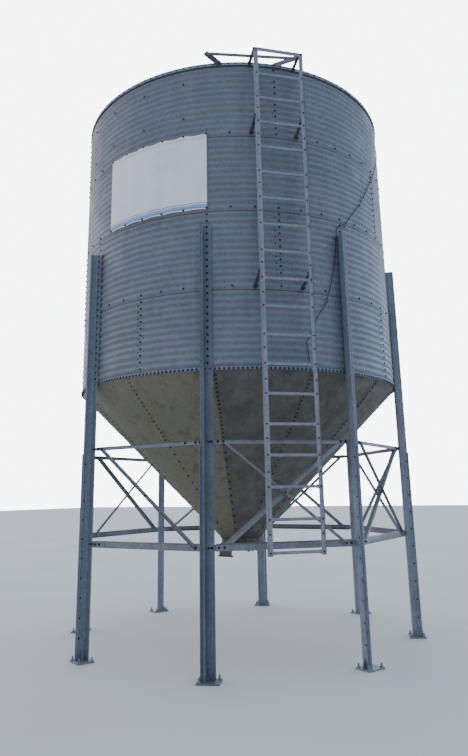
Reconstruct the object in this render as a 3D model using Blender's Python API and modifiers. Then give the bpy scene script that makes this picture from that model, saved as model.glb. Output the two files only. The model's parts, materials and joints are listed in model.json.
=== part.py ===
"""Grain silo: a corrugated steel bin with a hopper bottom, on eight braced legs.

Units are metres and degrees. +Z is up, and the origin is on the bin's axis at ground level.
An angle is measured around the bin from the front (-Y) towards +X, and each repeated piece is
modelled at the front, with X across it and -Y outwards, and then turned about the axis.
"""

import math

import bmesh
import bpy
from mathutils import Matrix, Vector

# Fits between pieces, and how meshes are made
GAP = 0.0003
EMBED = 0.001
WELD = 0.00001
SHARP_ANGLE = 25.0

# Wall: rings of corrugated sheet, with a flat for each column of bolts
COLUMNS = 48
COLUMN_PITCH = 0.238125
CORRUGATION_DEPTH = 0.0127
SHEET_GAUGE = 0.001
RING_HEIGHT = 0.8128
RINGS = 4
SHEETS_PER_RING = 4
RIM_HEIGHT = 2.62

# Hopper and outlet
QUARTERS = 4
HOPPER_SLOPE = 45.0
HOPPER_GAUGE = 0.003
HOPPER_LIP = 0.045
HOPPER_TURN = 25.0
HOPPER_STEP = 2.5
OUTLET_RADIUS = 0.2032
OUTLET_SIDES = 48
COLLAR_HEIGHT = 0.1
COLLAR_WALL = 0.005
FLANGE_THICKNESS = 0.006
FRAME_BORDER = 0.04
GATE_SEAT = 0.0268
GATE_PULL = 0.1
GATE_THICKNESS = 0.005
GATE_LIP = 0.018
GATE_LIP_THICKNESS = 0.005
HANDLE_DROP = 0.07
HANDLE_WIDTH = 0.16

# Roof
ROOF_SLOPE = 30.0
ROOF_GAUGE = 0.003
ROOF_SKIRT = 0.035
ROOF_TURN = 26.25
PEAK_RADIUS = 0.25
PEAK_RISE = 0.08
PEAK_BELOW = 0.02
PEAK_WALL = 0.004
LID_OVERHANG = 0.02
LID_SKIRT = 0.03
LID_RISE = 0.035
LID_GAUGE = 0.004

# Legs: a C section open to one side, whose wide flange lies on the wall and whose narrow one is a lip
LEGS = 8
FIRST_LEG = 22.5
LEG_ABOVE_RIM = 1.44
LEG_DEPTH = 0.09
LEG_THICKNESS = 0.005
WEB_PLACE = -0.052
INNER_FLANGE = 0.099
OUTER_FLANGE = 0.018
STIFFENER_WIDTH = 0.034
STIFFENER_REACH = 0.018
STIFFENER_INSET = 0.002
STIFFENER_TOP_DROP = 0.70
FOOT_WIDTH = 0.2
FOOT_DEPTH = 0.17
FOOT_THICKNESS = 0.012

# Bracing between two legs
UPPER_BAR_DROP = 0.655
UPPER_BAR_HEIGHT = 0.039
LOWER_BAR_DROP = 1.568
LOWER_BAR_HEIGHT = 0.063
BAR_LEG = 0.036
BAR_THICKNESS = 0.004
CLIP_FLAT = 0.032
CLIP_WING = 0.075
CLIP_THICKNESS = 0.004
CLIP_CLEARANCE = 0.0015
BAR_OVERLAP = 0.046
FRONT_STRUT_WIDTH = 0.028
BACK_STRUT_WIDTH = 0.045
STRUT_LEG = 0.028
STRUT_THICKNESS = 0.004
STRUT_SETBACK = 0.027
SINGLE_STRUT_BAY = 8

# Ladder
LADDER_ANGLE = 45.0
LADDER_STANDOFF = 0.19
RUNGS_PER_RING = 3
RUNGS = 18
RUNG_ABOVE_SEAM = 0.02
RUNG_RADIUS = 0.011
RUNG_SIDES = 8
RAIL_WIDTH = 0.044
RAIL_LEG = 0.028
RAIL_THICKNESS = 0.004
RAIL_END = 0.028
UPPER_SECTION_RUNGS = 6
UPPER_STRAP_RING = 3
LOWER_STRAP_RING = 1
STRAP_WIDTH = 0.032
STRAP_THICKNESS = 0.005
STRAP_FOOT_WIDTH = 0.04
STRAP_FOOT_HEIGHT = 0.05
STRAP_RISE = 0.07
TOP_STRAP_DROP = 0.018

# Guard rail at the eave
GUARD_FOOT_ANGLES = (30.0, 45.0)
GUARD_FOOT_SHIFTS = (-0.08, 0.0)
GUARD_TIP_ANGLES = (22.6, 53.0)
GUARD_TIP_RISE = 0.105
GUARD_TIP_OUT = 0.03
GUARD_FOOT_DROP = 0.016
GUARD_FOOT_WIDTH = 0.05
GUARD_FOOT_HEIGHT = 0.03
GUARD_ARM_WIDTH = 0.04
GUARD_THICKNESS = 0.006
GUARD_ROD_RADIUS = 0.011
GUARD_ROD_SIDES = 12
GUARD_ROD_PLACE = 0.9

# Banner and rope on the wall. The rope's route is given in bolt columns from the nearest leg and
# in ring heights above the rim.
BANNER_FIRST_COLUMN = -5
BANNER_LAST_COLUMN = 0
BANNER_RING = 3
BANNER_MARGIN = 0.012
BANNER_THICKNESS = 0.004
ROPE_RADIUS = 0.005
ROPE_STEP = 0.125
ROPE_ROUTE = (
    (4.0, 0.348), (4.25, 0.459), (4.5, 0.639), (5.0, 0.866), (5.5, 1.316), (5.7, 1.673), (5.78, 1.85),
    (6.25, 1.932), (6.625, 2.06), (7.5, 2.338), (9.0, 2.891), (10.5, 3.371), (12.5, 3.937),
)
ROPE_TAIL = ((4.03, 0.221), (4.06, 0.098))

# Sizes that follow from those above
COLUMN_STEP = 360.0 / COLUMNS
WALL_RADIUS = COLUMNS * COLUMN_PITCH / (2.0 * math.pi)
WALL_OUT = WALL_RADIUS + (CORRUGATION_DEPTH + SHEET_GAUGE) / 2.0
WALL_IN = WALL_RADIUS - (CORRUGATION_DEPTH + SHEET_GAUGE) / 2.0
EAVE_HEIGHT = RIM_HEIGHT + RINGS * RING_HEIGHT
SHEET_ANGLE = 360.0 / SHEETS_PER_RING
QUARTER = 360.0 / QUARTERS
QUARTER_SHIFT = GAP / 2.0 / math.sin(math.radians(QUARTER / 2.0))
HOPPER_TOP_RADIUS = WALL_IN - GAP - HOPPER_GAUGE - QUARTER_SHIFT
OUTLET_HEIGHT = RIM_HEIGHT - (HOPPER_TOP_RADIUS - OUTLET_RADIUS) * math.tan(math.radians(HOPPER_SLOPE))
GATE_HALF = OUTLET_RADIUS + GATE_SEAT
FLANGE_HALF = GATE_HALF + FRAME_BORDER
SKIRT_IN = WALL_OUT + GAP
SKIRT_OUT = SKIRT_IN + ROOF_GAUGE + QUARTER_SHIFT
ROOF_EAVE_RADIUS = SKIRT_IN / math.cos(math.radians(COLUMN_STEP / 2.0))
ROOF_PEAK_HEIGHT = EAVE_HEIGHT + GAP + (ROOF_EAVE_RADIUS - PEAK_RADIUS) * math.tan(math.radians(ROOF_SLOPE))
LEG_IN = WALL_OUT + GAP
LEG_ANGLE = 360.0 / LEGS
RUNG_SPACING = RING_HEIGHT / RUNGS_PER_RING
CROSSBAR_HEIGHT = EAVE_HEIGHT + RUNG_ABOVE_SEAM
LADDER_HALF = WALL_OUT * math.sin(math.radians(COLUMN_STEP))
LADDER_OUT = WALL_OUT * math.cos(math.radians(COLUMN_STEP)) + LADDER_STANDOFF

COLLECTION_NAME = "grain_silo"


def clear_scene():
    """Remove every object that is already in the scene."""
    for item in list(bpy.data.objects):
        bpy.data.objects.remove(item, do_unlink=True)


def make_material(name, colour, roughness, metallic):
    """A Principled material with one colour."""
    material = bpy.data.materials.new(name)
    material.use_nodes = True
    shader = material.node_tree.nodes["Principled BSDF"]
    shader.inputs["Base Color"].default_value = (*colour, 1.0)
    shader.inputs["Roughness"].default_value = roughness
    shader.inputs["Metallic"].default_value = metallic
    material.diffuse_color = (*colour, 1.0)
    return material


def turn(angle):
    """The turn about the bin's axis that brings the front to an angle."""
    return Matrix.Rotation(math.radians(angle), 4, "Z")


def around(angle, out, height):
    """The point at an angle, a distance out from the axis and a height."""
    return turn(angle) @ Vector((0.0, -out, height))


def facet_distance(angle, flat):
    """How far out the many-sided wall is at an angle, if its flats are at a distance."""
    column = round(angle / COLUMN_STEP) * COLUMN_STEP
    return flat / math.cos(math.radians(angle - column))


def facet_line(first, last, flat):
    """Plan points along the wall's flats from one angle to another."""
    half = COLUMN_STEP / 2.0
    ridge = math.floor((first - half) / COLUMN_STEP + 1.0) * COLUMN_STEP + half
    angles = [first]
    while ridge < last - EMBED:
        if ridge > first + EMBED:
            angles.append(ridge)
        ridge += COLUMN_STEP
    angles.append(last)
    points = [around(angle, facet_distance(angle, flat), 0.0) for angle in angles]
    return [(point.x, point.y) for point in points]


def cleaned(mesh, matrix=None):
    """Weld a mesh, point its faces outwards and move it by a matrix."""
    work = bmesh.new()
    work.from_mesh(mesh)
    bmesh.ops.remove_doubles(work, verts=work.verts, dist=WELD)
    if matrix is not None:
        bmesh.ops.transform(work, matrix=matrix, verts=work.verts)
    bmesh.ops.recalc_face_normals(work, faces=work.faces)
    work.to_mesh(mesh)
    work.free()
    return mesh


def evaluated_mesh(item):
    """The mesh of an object with its modifiers, after which the object is removed."""
    bpy.context.scene.collection.objects.link(item)
    graph = bpy.context.evaluated_depsgraph_get()
    mesh = bpy.data.meshes.new_from_object(item.evaluated_get(graph), depsgraph=graph)
    bpy.data.objects.remove(item, do_unlink=True)
    return mesh


def prism(outline, length, matrix=None):
    """A flat outline made solid from its plane up to a length along Z."""
    curve = bpy.data.curves.new("outline", "CURVE")
    curve.dimensions = "2D"
    curve.fill_mode = "BOTH"
    curve.extrude = length / 2.0
    spline = curve.splines.new("POLY")
    spline.points.add(len(outline) - 1)
    for point, (x, y) in zip(spline.points, outline):
        point.co = (x, y, 0.0, 1.0)
    spline.use_cyclic_u = True
    mesh = evaluated_mesh(bpy.data.objects.new("outline", curve))
    lift = Matrix.Translation((0.0, 0.0, length / 2.0))
    return cleaned(mesh, lift if matrix is None else matrix @ lift)


def block(low, high):
    """A box between two corners."""
    low = Vector(low)
    high = Vector(high)
    size = high - low
    mesh = bpy.data.meshes.new("block")
    work = bmesh.new()
    place = Matrix.Translation((low + high) / 2.0) @ Matrix.Diagonal((*size, 1.0))
    bmesh.ops.create_cube(work, size=1.0, matrix=place)
    work.to_mesh(mesh)
    work.free()
    return mesh


def beam(outline, start, end, out):
    """A section run from one point to another, with its Y side turned towards a direction."""
    start = Vector(start)
    along = Vector(end) - start
    length = along.length
    along.normalize()
    side_y = Vector(out) - Vector(out).dot(along) * along
    side_y.normalize()
    side_x = side_y.cross(along)
    frame = Matrix((side_x, side_y, along)).transposed().to_4x4()
    return prism(outline, length, Matrix.Translation(start) @ frame)


def rod(radius, sides, start, end):
    """A round bar from one point to another."""
    start = Vector(start)
    along = Vector(end) - start
    mesh = bpy.data.meshes.new("rod")
    work = bmesh.new()
    middle = Matrix.Translation((start + Vector(end)) / 2.0)
    place = middle @ along.to_track_quat("Z", "Y").to_matrix().to_4x4()
    bmesh.ops.create_cone(
        work, cap_ends=True, segments=sides, radius1=radius, radius2=radius, depth=along.length, matrix=place)
    work.to_mesh(mesh)
    work.free()
    return mesh


def rectangle(width, depth):
    """A rectangle centred on the origin."""
    x = width / 2.0
    y = depth / 2.0
    return [(-x, -y), (x, -y), (x, y), (-x, y)]


def joined(meshes):
    """Several meshes as one, with nothing cut."""
    work = bmesh.new()
    for mesh in meshes:
        work.from_mesh(mesh)
    result = bpy.data.meshes.new("joined")
    work.to_mesh(result)
    work.free()
    return result


def combined(first, others, operation="UNION"):
    """One mesh with others welded to it or cut from it."""
    item = bpy.data.objects.new("work", first)
    tools = []
    for mesh in others:
        tool = bpy.data.objects.new("tool", mesh)
        bpy.context.scene.collection.objects.link(tool)
        modifier = item.modifiers.new("combine", "BOOLEAN")
        modifier.operation = operation
        modifier.solver = "EXACT"
        modifier.object = tool
        tools.append(tool)
    mesh = evaluated_mesh(item)
    for tool in tools:
        bpy.data.objects.remove(tool, do_unlink=True)
    return mesh


def turned(profile, sweep, steps, thickness=0.0):
    """A profile of (distance out, height) points turned about the axis from the front.

    A profile that is open becomes a plate, thickened outwards. A closed profile is a full turn.
    """
    mesh = bpy.data.meshes.new("profile")
    work = bmesh.new()
    points = [work.verts.new((out, 0.0, height)) for out, height in profile]
    for start, end in zip(points, points[1:]):
        work.edges.new((start, end))
    work.to_mesh(mesh)
    work.free()
    item = bpy.data.objects.new("profile", mesh)
    screw = item.modifiers.new("turn", "SCREW")
    screw.axis = "Z"
    screw.angle = math.radians(sweep)
    screw.steps = steps
    screw.render_steps = steps
    screw.use_merge_vertices = True
    screw.merge_threshold = WELD
    screw.use_smooth_shade = False
    if thickness:
        plate = item.modifiers.new("plate", "SOLIDIFY")
        plate.thickness = thickness
        plate.offset = 1.0
        plate.use_even_offset = True
    return cleaned(evaluated_mesh(item), turn(-90.0))


def place(name, mesh, material, angle=0.0, offset=(0.0, 0.0, 0.0), smooth=False):
    """Put a piece into the silo, turned about the axis."""
    mesh.name = name
    if not mesh.materials:
        mesh.materials.append(material)
    if smooth:
        mesh.shade_smooth()
        mesh.set_sharp_from_angle(angle=math.radians(SHARP_ANGLE))
    item = bpy.data.objects.new(name, mesh)
    item.location = offset
    item.rotation_euler = (0.0, 0.0, math.radians(angle))
    bpy.data.collections[COLLECTION_NAME].objects.link(item)
    return item


def build_wall(material):
    """Rings of curved sheets, with the upright seams of each ring between those of the next."""
    end_gap = math.degrees(GAP / 2.0 / WALL_RADIUS)
    half = SHEET_ANGLE / 2.0 - end_gap
    outline = facet_line(-half, half, WALL_OUT) + facet_line(-half, half, WALL_IN)[::-1]
    sheet = prism(outline, RING_HEIGHT - GAP)
    for ring in range(RINGS):
        shift = SHEET_ANGLE / 2.0 if ring % 2 == 0 else 0.0
        for number in range(SHEETS_PER_RING):
            name = f"wall_ring_{ring + 1}_sheet_{number + 1}"
            height = RIM_HEIGHT + ring * RING_HEIGHT + GAP / 2.0
            place(name, sheet, material, shift + number * SHEET_ANGLE, (0.0, 0.0, height))


def quarter_offset(angle):
    """The small shift that opens the gap between a quarter and its neighbours."""
    return around(angle + QUARTER / 2.0, QUARTER_SHIFT, 0.0)


def build_hopper(material):
    """Four quarters of the cone, each with an upright lip inside the wall's lower edge."""
    profile = [(HOPPER_TOP_RADIUS, RIM_HEIGHT + HOPPER_LIP), (HOPPER_TOP_RADIUS, RIM_HEIGHT),
               (OUTLET_RADIUS, OUTLET_HEIGHT)]
    quarter = turned(profile, QUARTER, round(QUARTER / HOPPER_STEP), HOPPER_GAUGE)
    for number in range(QUARTERS):
        angle = HOPPER_TURN + number * QUARTER
        place(f"hopper_quarter_{number + 1}", quarter, material, angle, quarter_offset(angle), smooth=True)


def build_outlet(material):
    """The collar under the hopper with its flange, the gate's frame and the gate."""
    lower_edge = HOPPER_GAUGE * math.cos(math.radians(HOPPER_SLOPE))
    top = OUTLET_HEIGHT - lower_edge - GAP
    bottom = top - COLLAR_HEIGHT
    inner = OUTLET_RADIUS
    outer = inner + COLLAR_WALL
    wall = [(inner, top), (outer, top), (outer, bottom), (inner, bottom), (inner, top)]
    tube = turned(wall, 360.0, OUTLET_SIDES)
    half = FLANGE_HALF
    flange = block((-half, -half, bottom), (half, half, bottom + FLANGE_THICKNESS))
    middle = Vector((0.0, 0.0, bottom + FLANGE_THICKNESS / 2.0))
    reach = Vector((0.0, 0.0, FLANGE_THICKNESS))
    bore = rod(inner + COLLAR_WALL / 2.0, OUTLET_SIDES, middle - reach, middle + reach)
    flange = combined(flange, [bore], "DIFFERENCE")
    place("outlet_collar", combined(tube, [flange]), material)

    slot = GATE_THICKNESS + 2.0 * GAP
    frame_top = bottom - GAP
    guide = GATE_HALF + GAP
    web = [(-half, -half), (-guide, -half), (-guide, GATE_HALF), (guide, GATE_HALF),
           (guide, -half), (half, -half), (half, half), (-half, half)]
    inside = GATE_HALF - GATE_LIP
    lip = [(-half, -half), (-inside, -half), (-inside, inside), (inside, inside),
           (inside, -half), (half, -half), (half, half), (-half, half)]
    upper = prism(web, slot + EMBED, Matrix.Translation((0.0, 0.0, frame_top - slot - EMBED)))
    lip_place = Matrix.Translation((0.0, 0.0, frame_top - slot - GATE_LIP_THICKNESS))
    place("gate_frame", combined(upper, [prism(lip, GATE_LIP_THICKNESS, lip_place)]), material)

    gate_top = frame_top - GAP / 2.0
    gate_bottom = gate_top - GATE_THICKNESS
    front = -GATE_HALF - GAP - GATE_PULL
    plate = block((-GATE_HALF, front, gate_bottom), (GATE_HALF, GATE_HALF - GAP, gate_top))
    handle_half = HANDLE_WIDTH / 2.0
    handle = block((-handle_half, front, gate_bottom - HANDLE_DROP),
                   (handle_half, front + GATE_THICKNESS, gate_bottom + EMBED))
    place("slide_gate", combined(plate, [handle]), material)


def build_roof(material):
    """Four quarters of the conical roof, the ring at its peak and the lid."""
    edge = EAVE_HEIGHT + GAP
    profile = [(PEAK_RADIUS, ROOF_PEAK_HEIGHT), (ROOF_EAVE_RADIUS, edge),
               (ROOF_EAVE_RADIUS, edge - ROOF_SKIRT)]
    quarter = turned(profile, QUARTER, round(QUARTER / COLUMN_STEP), ROOF_GAUGE)
    for number in range(QUARTERS):
        angle = ROOF_TURN + number * QUARTER
        place(f"roof_quarter_{number + 1}", quarter, material, angle, quarter_offset(angle))

    outer = PEAK_RADIUS - GAP
    inner = outer - PEAK_WALL
    top = ROOF_PEAK_HEIGHT + PEAK_RISE
    bottom = ROOF_PEAK_HEIGHT - PEAK_BELOW
    ring = [(inner, top), (outer, top), (outer, bottom), (inner, bottom), (inner, top)]
    place("roof_peak_ring", turned(ring, 360.0, COLUMNS), material, ROOF_TURN)
    lid_out = outer + LID_OVERHANG
    seat = top + GAP
    lid = [(0.0, seat + LID_RISE + LID_GAUGE), (lid_out + LID_GAUGE, seat + LID_GAUGE),
           (lid_out + LID_GAUGE, seat - LID_SKIRT), (lid_out, seat - LID_SKIRT), (lid_out, seat), (0.0, seat)]
    place("roof_lid", turned(lid, 360.0, COLUMNS), material, ROOF_TURN)


def wing_face():
    """How far out the outer face of a clip's wing lies, square to the bay beside the leg."""
    bay = math.radians(LEG_ANGLE / 2.0)
    return CLIP_FLAT * math.sin(bay) + (LEG_IN + EMBED) * math.cos(bay)


def clip_mesh(height, centre):
    """A bent plate behind a leg, with a wing towards the bay on each side."""
    bend = math.radians(LEG_ANGLE / 2.0)
    outer = LEG_IN + EMBED
    face = [(CLIP_FLAT, outer), (CLIP_FLAT + CLIP_WING * math.cos(bend), outer - CLIP_WING * math.sin(bend))]
    inward = (-CLIP_THICKNESS * math.sin(bend), -CLIP_THICKNESS * math.cos(bend))
    back = [(face[1][0] + inward[0], face[1][1] + inward[1]),
            (CLIP_FLAT - CLIP_THICKNESS * math.tan(bend / 2.0), outer - CLIP_THICKNESS)]
    half = face + back
    outline = half + [(-x, out) for x, out in reversed(half)]
    lift = Matrix.Translation((0.0, 0.0, centre - height / 2.0))
    return prism([(x, -out) for x, out in outline], height, lift)


def build_legs(material):
    """Eight legs, each with its foot plate, its stiffener and the two clips of the bracing."""
    inner = LEG_IN
    outer = LEG_IN + LEG_DEPTH
    left = WEB_PLACE
    web = left + LEG_THICKNESS
    right = left + INNER_FLANGE
    tip = left + OUTER_FLANGE
    section = [(right, inner), (right, inner + LEG_THICKNESS), (web, inner + LEG_THICKNESS),
               (web, outer - LEG_THICKNESS), (tip, outer - LEG_THICKNESS), (tip, outer),
               (left, outer), (left, inner)]
    top = RIM_HEIGHT + LEG_ABOVE_RIM
    foot_top = FOOT_THICKNESS - EMBED
    post = prism([(x, -out) for x, out in section], top - foot_top, Matrix.Translation((0.0, 0.0, foot_top)))

    middle_x = (left + right) / 2.0
    middle_out = (inner + outer) / 2.0
    foot = block((middle_x - FOOT_WIDTH / 2.0, -middle_out - FOOT_DEPTH / 2.0, 0.0),
                 (middle_x + FOOT_WIDTH / 2.0, -middle_out + FOOT_DEPTH / 2.0, FOOT_THICKNESS))
    face = outer - STIFFENER_INSET
    edge = left - STIFFENER_REACH
    seat = left + EMBED
    strip = [(seat, face - STIFFENER_WIDTH), (seat, face), (edge, face), (edge, face - LEG_THICKNESS),
             (seat - LEG_THICKNESS, face - LEG_THICKNESS), (seat - LEG_THICKNESS, face - STIFFENER_WIDTH)]
    stiffener = prism([(x, -out) for x, out in strip], RIM_HEIGHT - STIFFENER_TOP_DROP - foot_top,
                      Matrix.Translation((0.0, 0.0, foot_top)))
    inside = 2.0 * (BAR_THICKNESS + CLIP_CLEARANCE)
    upper = clip_mesh(UPPER_BAR_HEIGHT - inside, RIM_HEIGHT - UPPER_BAR_DROP)
    lower = clip_mesh(LOWER_BAR_HEIGHT - inside, RIM_HEIGHT - LOWER_BAR_DROP)
    leg = combined(post, [foot, stiffener, upper, lower])
    for number in range(LEGS):
        place(f"leg_{number + 1}", leg, material, FIRST_LEG + number * LEG_ANGLE)


def build_braces(material):
    """A frame in each bay: an upper angle, a lower channel and two crossed angles, one in the front bay."""
    bay = math.radians(LEG_ANGLE / 2.0)
    face = wing_face() + GAP
    leg_across = LEG_IN * math.sin(bay)
    wing_end = leg_across - (CLIP_FLAT * math.cos(bay) + CLIP_WING)
    end = wing_end + BAR_OVERLAP
    out = face + BAR_THICKNESS
    inward = out - BAR_LEG
    upper = RIM_HEIGHT - UPPER_BAR_DROP
    lower = RIM_HEIGHT - LOWER_BAR_DROP
    top = upper + UPPER_BAR_HEIGHT / 2.0
    bottom = upper - UPPER_BAR_HEIGHT / 2.0
    angle_section = [(-out, bottom), (-face, bottom), (-face, top - BAR_THICKNESS),
                     (-inward, top - BAR_THICKNESS), (-inward, top), (-out, top)]
    top = lower + LOWER_BAR_HEIGHT / 2.0
    bottom = lower - LOWER_BAR_HEIGHT / 2.0
    channel_section = [(-out, bottom), (-inward, bottom), (-inward, bottom + BAR_THICKNESS),
                       (-face, bottom + BAR_THICKNESS), (-face, top - BAR_THICKNESS),
                       (-inward, top - BAR_THICKNESS), (-inward, top), (-out, top)]
    along_x = Matrix(((0.0, 0.0, 1.0, -end), (1.0, 0.0, 0.0, 0.0),
                      (0.0, 1.0, 0.0, 0.0), (0.0, 0.0, 0.0, 1.0)))
    pieces = [prism(angle_section, 2.0 * end, along_x), prism(channel_section, 2.0 * end, along_x)]

    reach = wing_end - STRUT_SETBACK
    struts = ((-1.0, out - EMBED, 1.0, FRONT_STRUT_WIDTH), (1.0, face + EMBED, -1.0, BACK_STRUT_WIDTH))
    for side, plane, way, width in struts:
        half = width / 2.0
        start = (side * reach, -plane, upper)
        finish = (-side * reach, -plane, lower)
        section = [(-half, 0.0), (half, 0.0), (half, way * STRUT_THICKNESS),
                   (STRUT_THICKNESS - half, way * STRUT_THICKNESS), (STRUT_THICKNESS - half, way * STRUT_LEG),
                   (-half, way * STRUT_LEG)]
        pieces.append(beam(section, start, finish, (0.0, -1.0, 0.0)))
    crossed = combined(pieces[0], pieces[1:])
    single = combined(pieces[0], pieces[1:-1])
    for number in range(LEGS):
        angle = FIRST_LEG + LEG_ANGLE / 2.0 + number * LEG_ANGLE
        frame = single if number + 1 == SINGLE_STRUT_BAY else crossed
        place(f"brace_frame_{number + 1}", frame, material, angle)


def strap_meshes(side, height, rail_height, flat):
    """A strap from a foot on a flat of the wall, up and out to the back of a ladder rail."""
    foot = block((-STRAP_FOOT_WIDTH / 2.0, -flat - STRAP_THICKNESS, height - STRAP_FOOT_HEIGHT / 2.0),
                 (STRAP_FOOT_WIDTH / 2.0, -flat, height + STRAP_FOOT_HEIGHT / 2.0))
    foot = cleaned(foot, turn(side * COLUMN_STEP))
    start = (flat + STRAP_THICKNESS) * math.cos(math.radians(COLUMN_STEP)) - EMBED
    end = LADDER_OUT - RAIL_THICKNESS + EMBED
    half = STRAP_WIDTH / 2.0
    outline = [(start, height - half), (end, rail_height - half),
               (end, rail_height + half), (start, height + half)]
    upright = Matrix(((0.0, 0.0, -1.0, side * LADDER_HALF + STRAP_THICKNESS / 2.0),
                      (-1.0, 0.0, 0.0, 0.0), (0.0, 1.0, 0.0, 0.0), (0.0, 0.0, 0.0, 1.0)))
    return foot, prism(outline, STRAP_THICKNESS, upright)


def ladder_section(top, bottom, rungs, straps):
    """Two rails with their rungs, and the straps that hold them off the wall."""
    face = LADDER_OUT
    back = face - RAIL_THICKNESS
    half = RAIL_WIDTH / 2.0
    section = [(-half, face), (half, face), (half, back), (RAIL_THICKNESS - half, back),
               (RAIL_THICKNESS - half, face - RAIL_LEG), (-half, face - RAIL_LEG)]
    lift = Matrix.Translation((0.0, 0.0, bottom))
    left = prism([(x - LADDER_HALF, -out) for x, out in section], top - bottom, lift)
    right = prism([(LADDER_HALF - x, -out) for x, out in section], top - bottom, lift)
    rung_out = back - RUNG_RADIUS + EMBED
    bars = joined([
        rod(RUNG_RADIUS, RUNG_SIDES, (-LADDER_HALF, -rung_out, height), (LADDER_HALF, -rung_out, height))
        for height in rungs])
    pieces = [right, bars]
    for height, rail_height, flat in straps:
        for side in (-1, 1):
            pieces.extend(strap_meshes(side, height, rail_height, flat))
    return combined(left, pieces)


def build_ladder(material):
    """The upper and lower lengths of the ladder."""
    heights = [CROSSBAR_HEIGHT - step * RUNG_SPACING for step in range(RUNGS + 1)]
    split = heights[UPPER_SECTION_RUNGS] - RAIL_END
    top_seam = RIM_HEIGHT + UPPER_STRAP_RING * RING_HEIGHT
    low_seam = RIM_HEIGHT + LOWER_STRAP_RING * RING_HEIGHT
    flat = WALL_OUT + GAP
    skirt = SKIRT_OUT + GAP
    eave_strap = EAVE_HEIGHT - TOP_STRAP_DROP
    upper_straps = [(top_seam, top_seam + STRAP_RISE, flat), (eave_strap, eave_strap, skirt)]
    upper = ladder_section(
        CROSSBAR_HEIGHT + RUNG_RADIUS, split, heights[:UPPER_SECTION_RUNGS + 1], upper_straps)
    lower = ladder_section(
        split - GAP, heights[-1] - RAIL_END, heights[UPPER_SECTION_RUNGS + 1:],
        [(low_seam, low_seam + STRAP_RISE, flat)])
    place("ladder_upper", upper, material, LADDER_ANGLE)
    place("ladder_lower", lower, material, LADDER_ANGLE)


def build_guard(material):
    """The rail at the eave: two splayed arms with a rod between their ends."""
    flat = SKIRT_OUT + GAP
    foot_height = EAVE_HEIGHT - GUARD_FOOT_DROP
    tip_height = EAVE_HEIGHT + GUARD_TIP_RISE
    feet = []
    arms = []
    tips = []
    for angle, shift, tip_angle in zip(GUARD_FOOT_ANGLES, GUARD_FOOT_SHIFTS, GUARD_TIP_ANGLES):
        width = GUARD_FOOT_WIDTH / 2.0
        height = GUARD_FOOT_HEIGHT / 2.0
        foot = block((shift - width, -flat - GUARD_THICKNESS, foot_height - height),
                     (shift + width, -flat, foot_height + height))
        feet.append(cleaned(foot, turn(angle)))
        out = flat + GUARD_THICKNESS / 2.0
        start = turn(angle) @ Vector((shift, -out, foot_height))
        tip = around(tip_angle, facet_distance(tip_angle, out) + GUARD_TIP_OUT, tip_height)
        outward = around(angle, 1.0, 0.0)
        arms.append(beam(rectangle(GUARD_ARM_WIDTH, GUARD_THICKNESS), start, tip, outward))
        tips.append(start.lerp(tip, GUARD_ROD_PLACE))
    bar = rod(GUARD_ROD_RADIUS, GUARD_ROD_SIDES, tips[0], tips[1])
    place("eave_guard_rail", combined(bar, arms + feet), material)


def build_banner(material):
    """The sheet that hangs over one ring of the wall, from bolt column to bolt column."""
    margin = math.degrees(BANNER_MARGIN / WALL_OUT)
    first = FIRST_LEG + BANNER_FIRST_COLUMN * COLUMN_STEP - margin
    last = FIRST_LEG + BANNER_LAST_COLUMN * COLUMN_STEP + margin
    inner = WALL_OUT + GAP
    outline = facet_line(first, last, inner + BANNER_THICKNESS) + facet_line(first, last, inner)[::-1]
    bottom = RIM_HEIGHT + (BANNER_RING - 1) * RING_HEIGHT - BANNER_MARGIN
    height = RING_HEIGHT + 2.0 * BANNER_MARGIN
    place("banner", prism(outline, height, Matrix.Translation((0.0, 0.0, bottom))), material)


def rope_height(column):
    """The rope's place at a column, in ring heights above the rim, on a curve through its route."""
    last = len(ROPE_ROUTE) - 1
    index = 0
    while index < last - 1 and column > ROPE_ROUTE[index + 1][0]:
        index += 1
    slopes = []
    for spot in (index, index + 1):
        before = ROPE_ROUTE[max(spot - 1, 0)]
        after = ROPE_ROUTE[min(spot + 1, last)]
        slopes.append((after[1] - before[1]) / (after[0] - before[0]))
    (x0, y0), (x1, y1) = ROPE_ROUTE[index], ROPE_ROUTE[index + 1]
    span = x1 - x0
    t = (column - x0) / span
    return (y0 * (1.0 + 2.0 * t) * (1.0 - t) ** 2 + slopes[0] * span * t * (1.0 - t) ** 2
            + y1 * t * t * (3.0 - 2.0 * t) + slopes[1] * span * t * t * (t - 1.0))


def build_rope(material):
    """The rope that comes down the wall from the eave to the hopper's rim."""
    flat = WALL_OUT + GAP + ROPE_RADIUS
    steps = round((ROPE_ROUTE[-1][0] - ROPE_ROUTE[0][0]) / ROPE_STEP)
    columns = [ROPE_ROUTE[-1][0] - step * ROPE_STEP for step in range(steps + 1)]
    route = [(column, rope_height(column)) for column in columns] + list(ROPE_TAIL)
    curve = bpy.data.curves.new("rope", "CURVE")
    curve.dimensions = "3D"
    curve.bevel_depth = ROPE_RADIUS
    curve.bevel_resolution = 2
    curve.use_fill_caps = True
    spline = curve.splines.new("POLY")
    spline.points.add(len(route) - 1)
    for point, (column, height) in zip(spline.points, route):
        angle = FIRST_LEG + column * COLUMN_STEP
        spot = around(angle, facet_distance(angle, flat), RIM_HEIGHT + height * RING_HEIGHT)
        point.co = (*spot, 1.0)
    mesh = evaluated_mesh(bpy.data.objects.new("rope", curve))
    place("wall_rope", cleaned(mesh), material)


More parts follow.
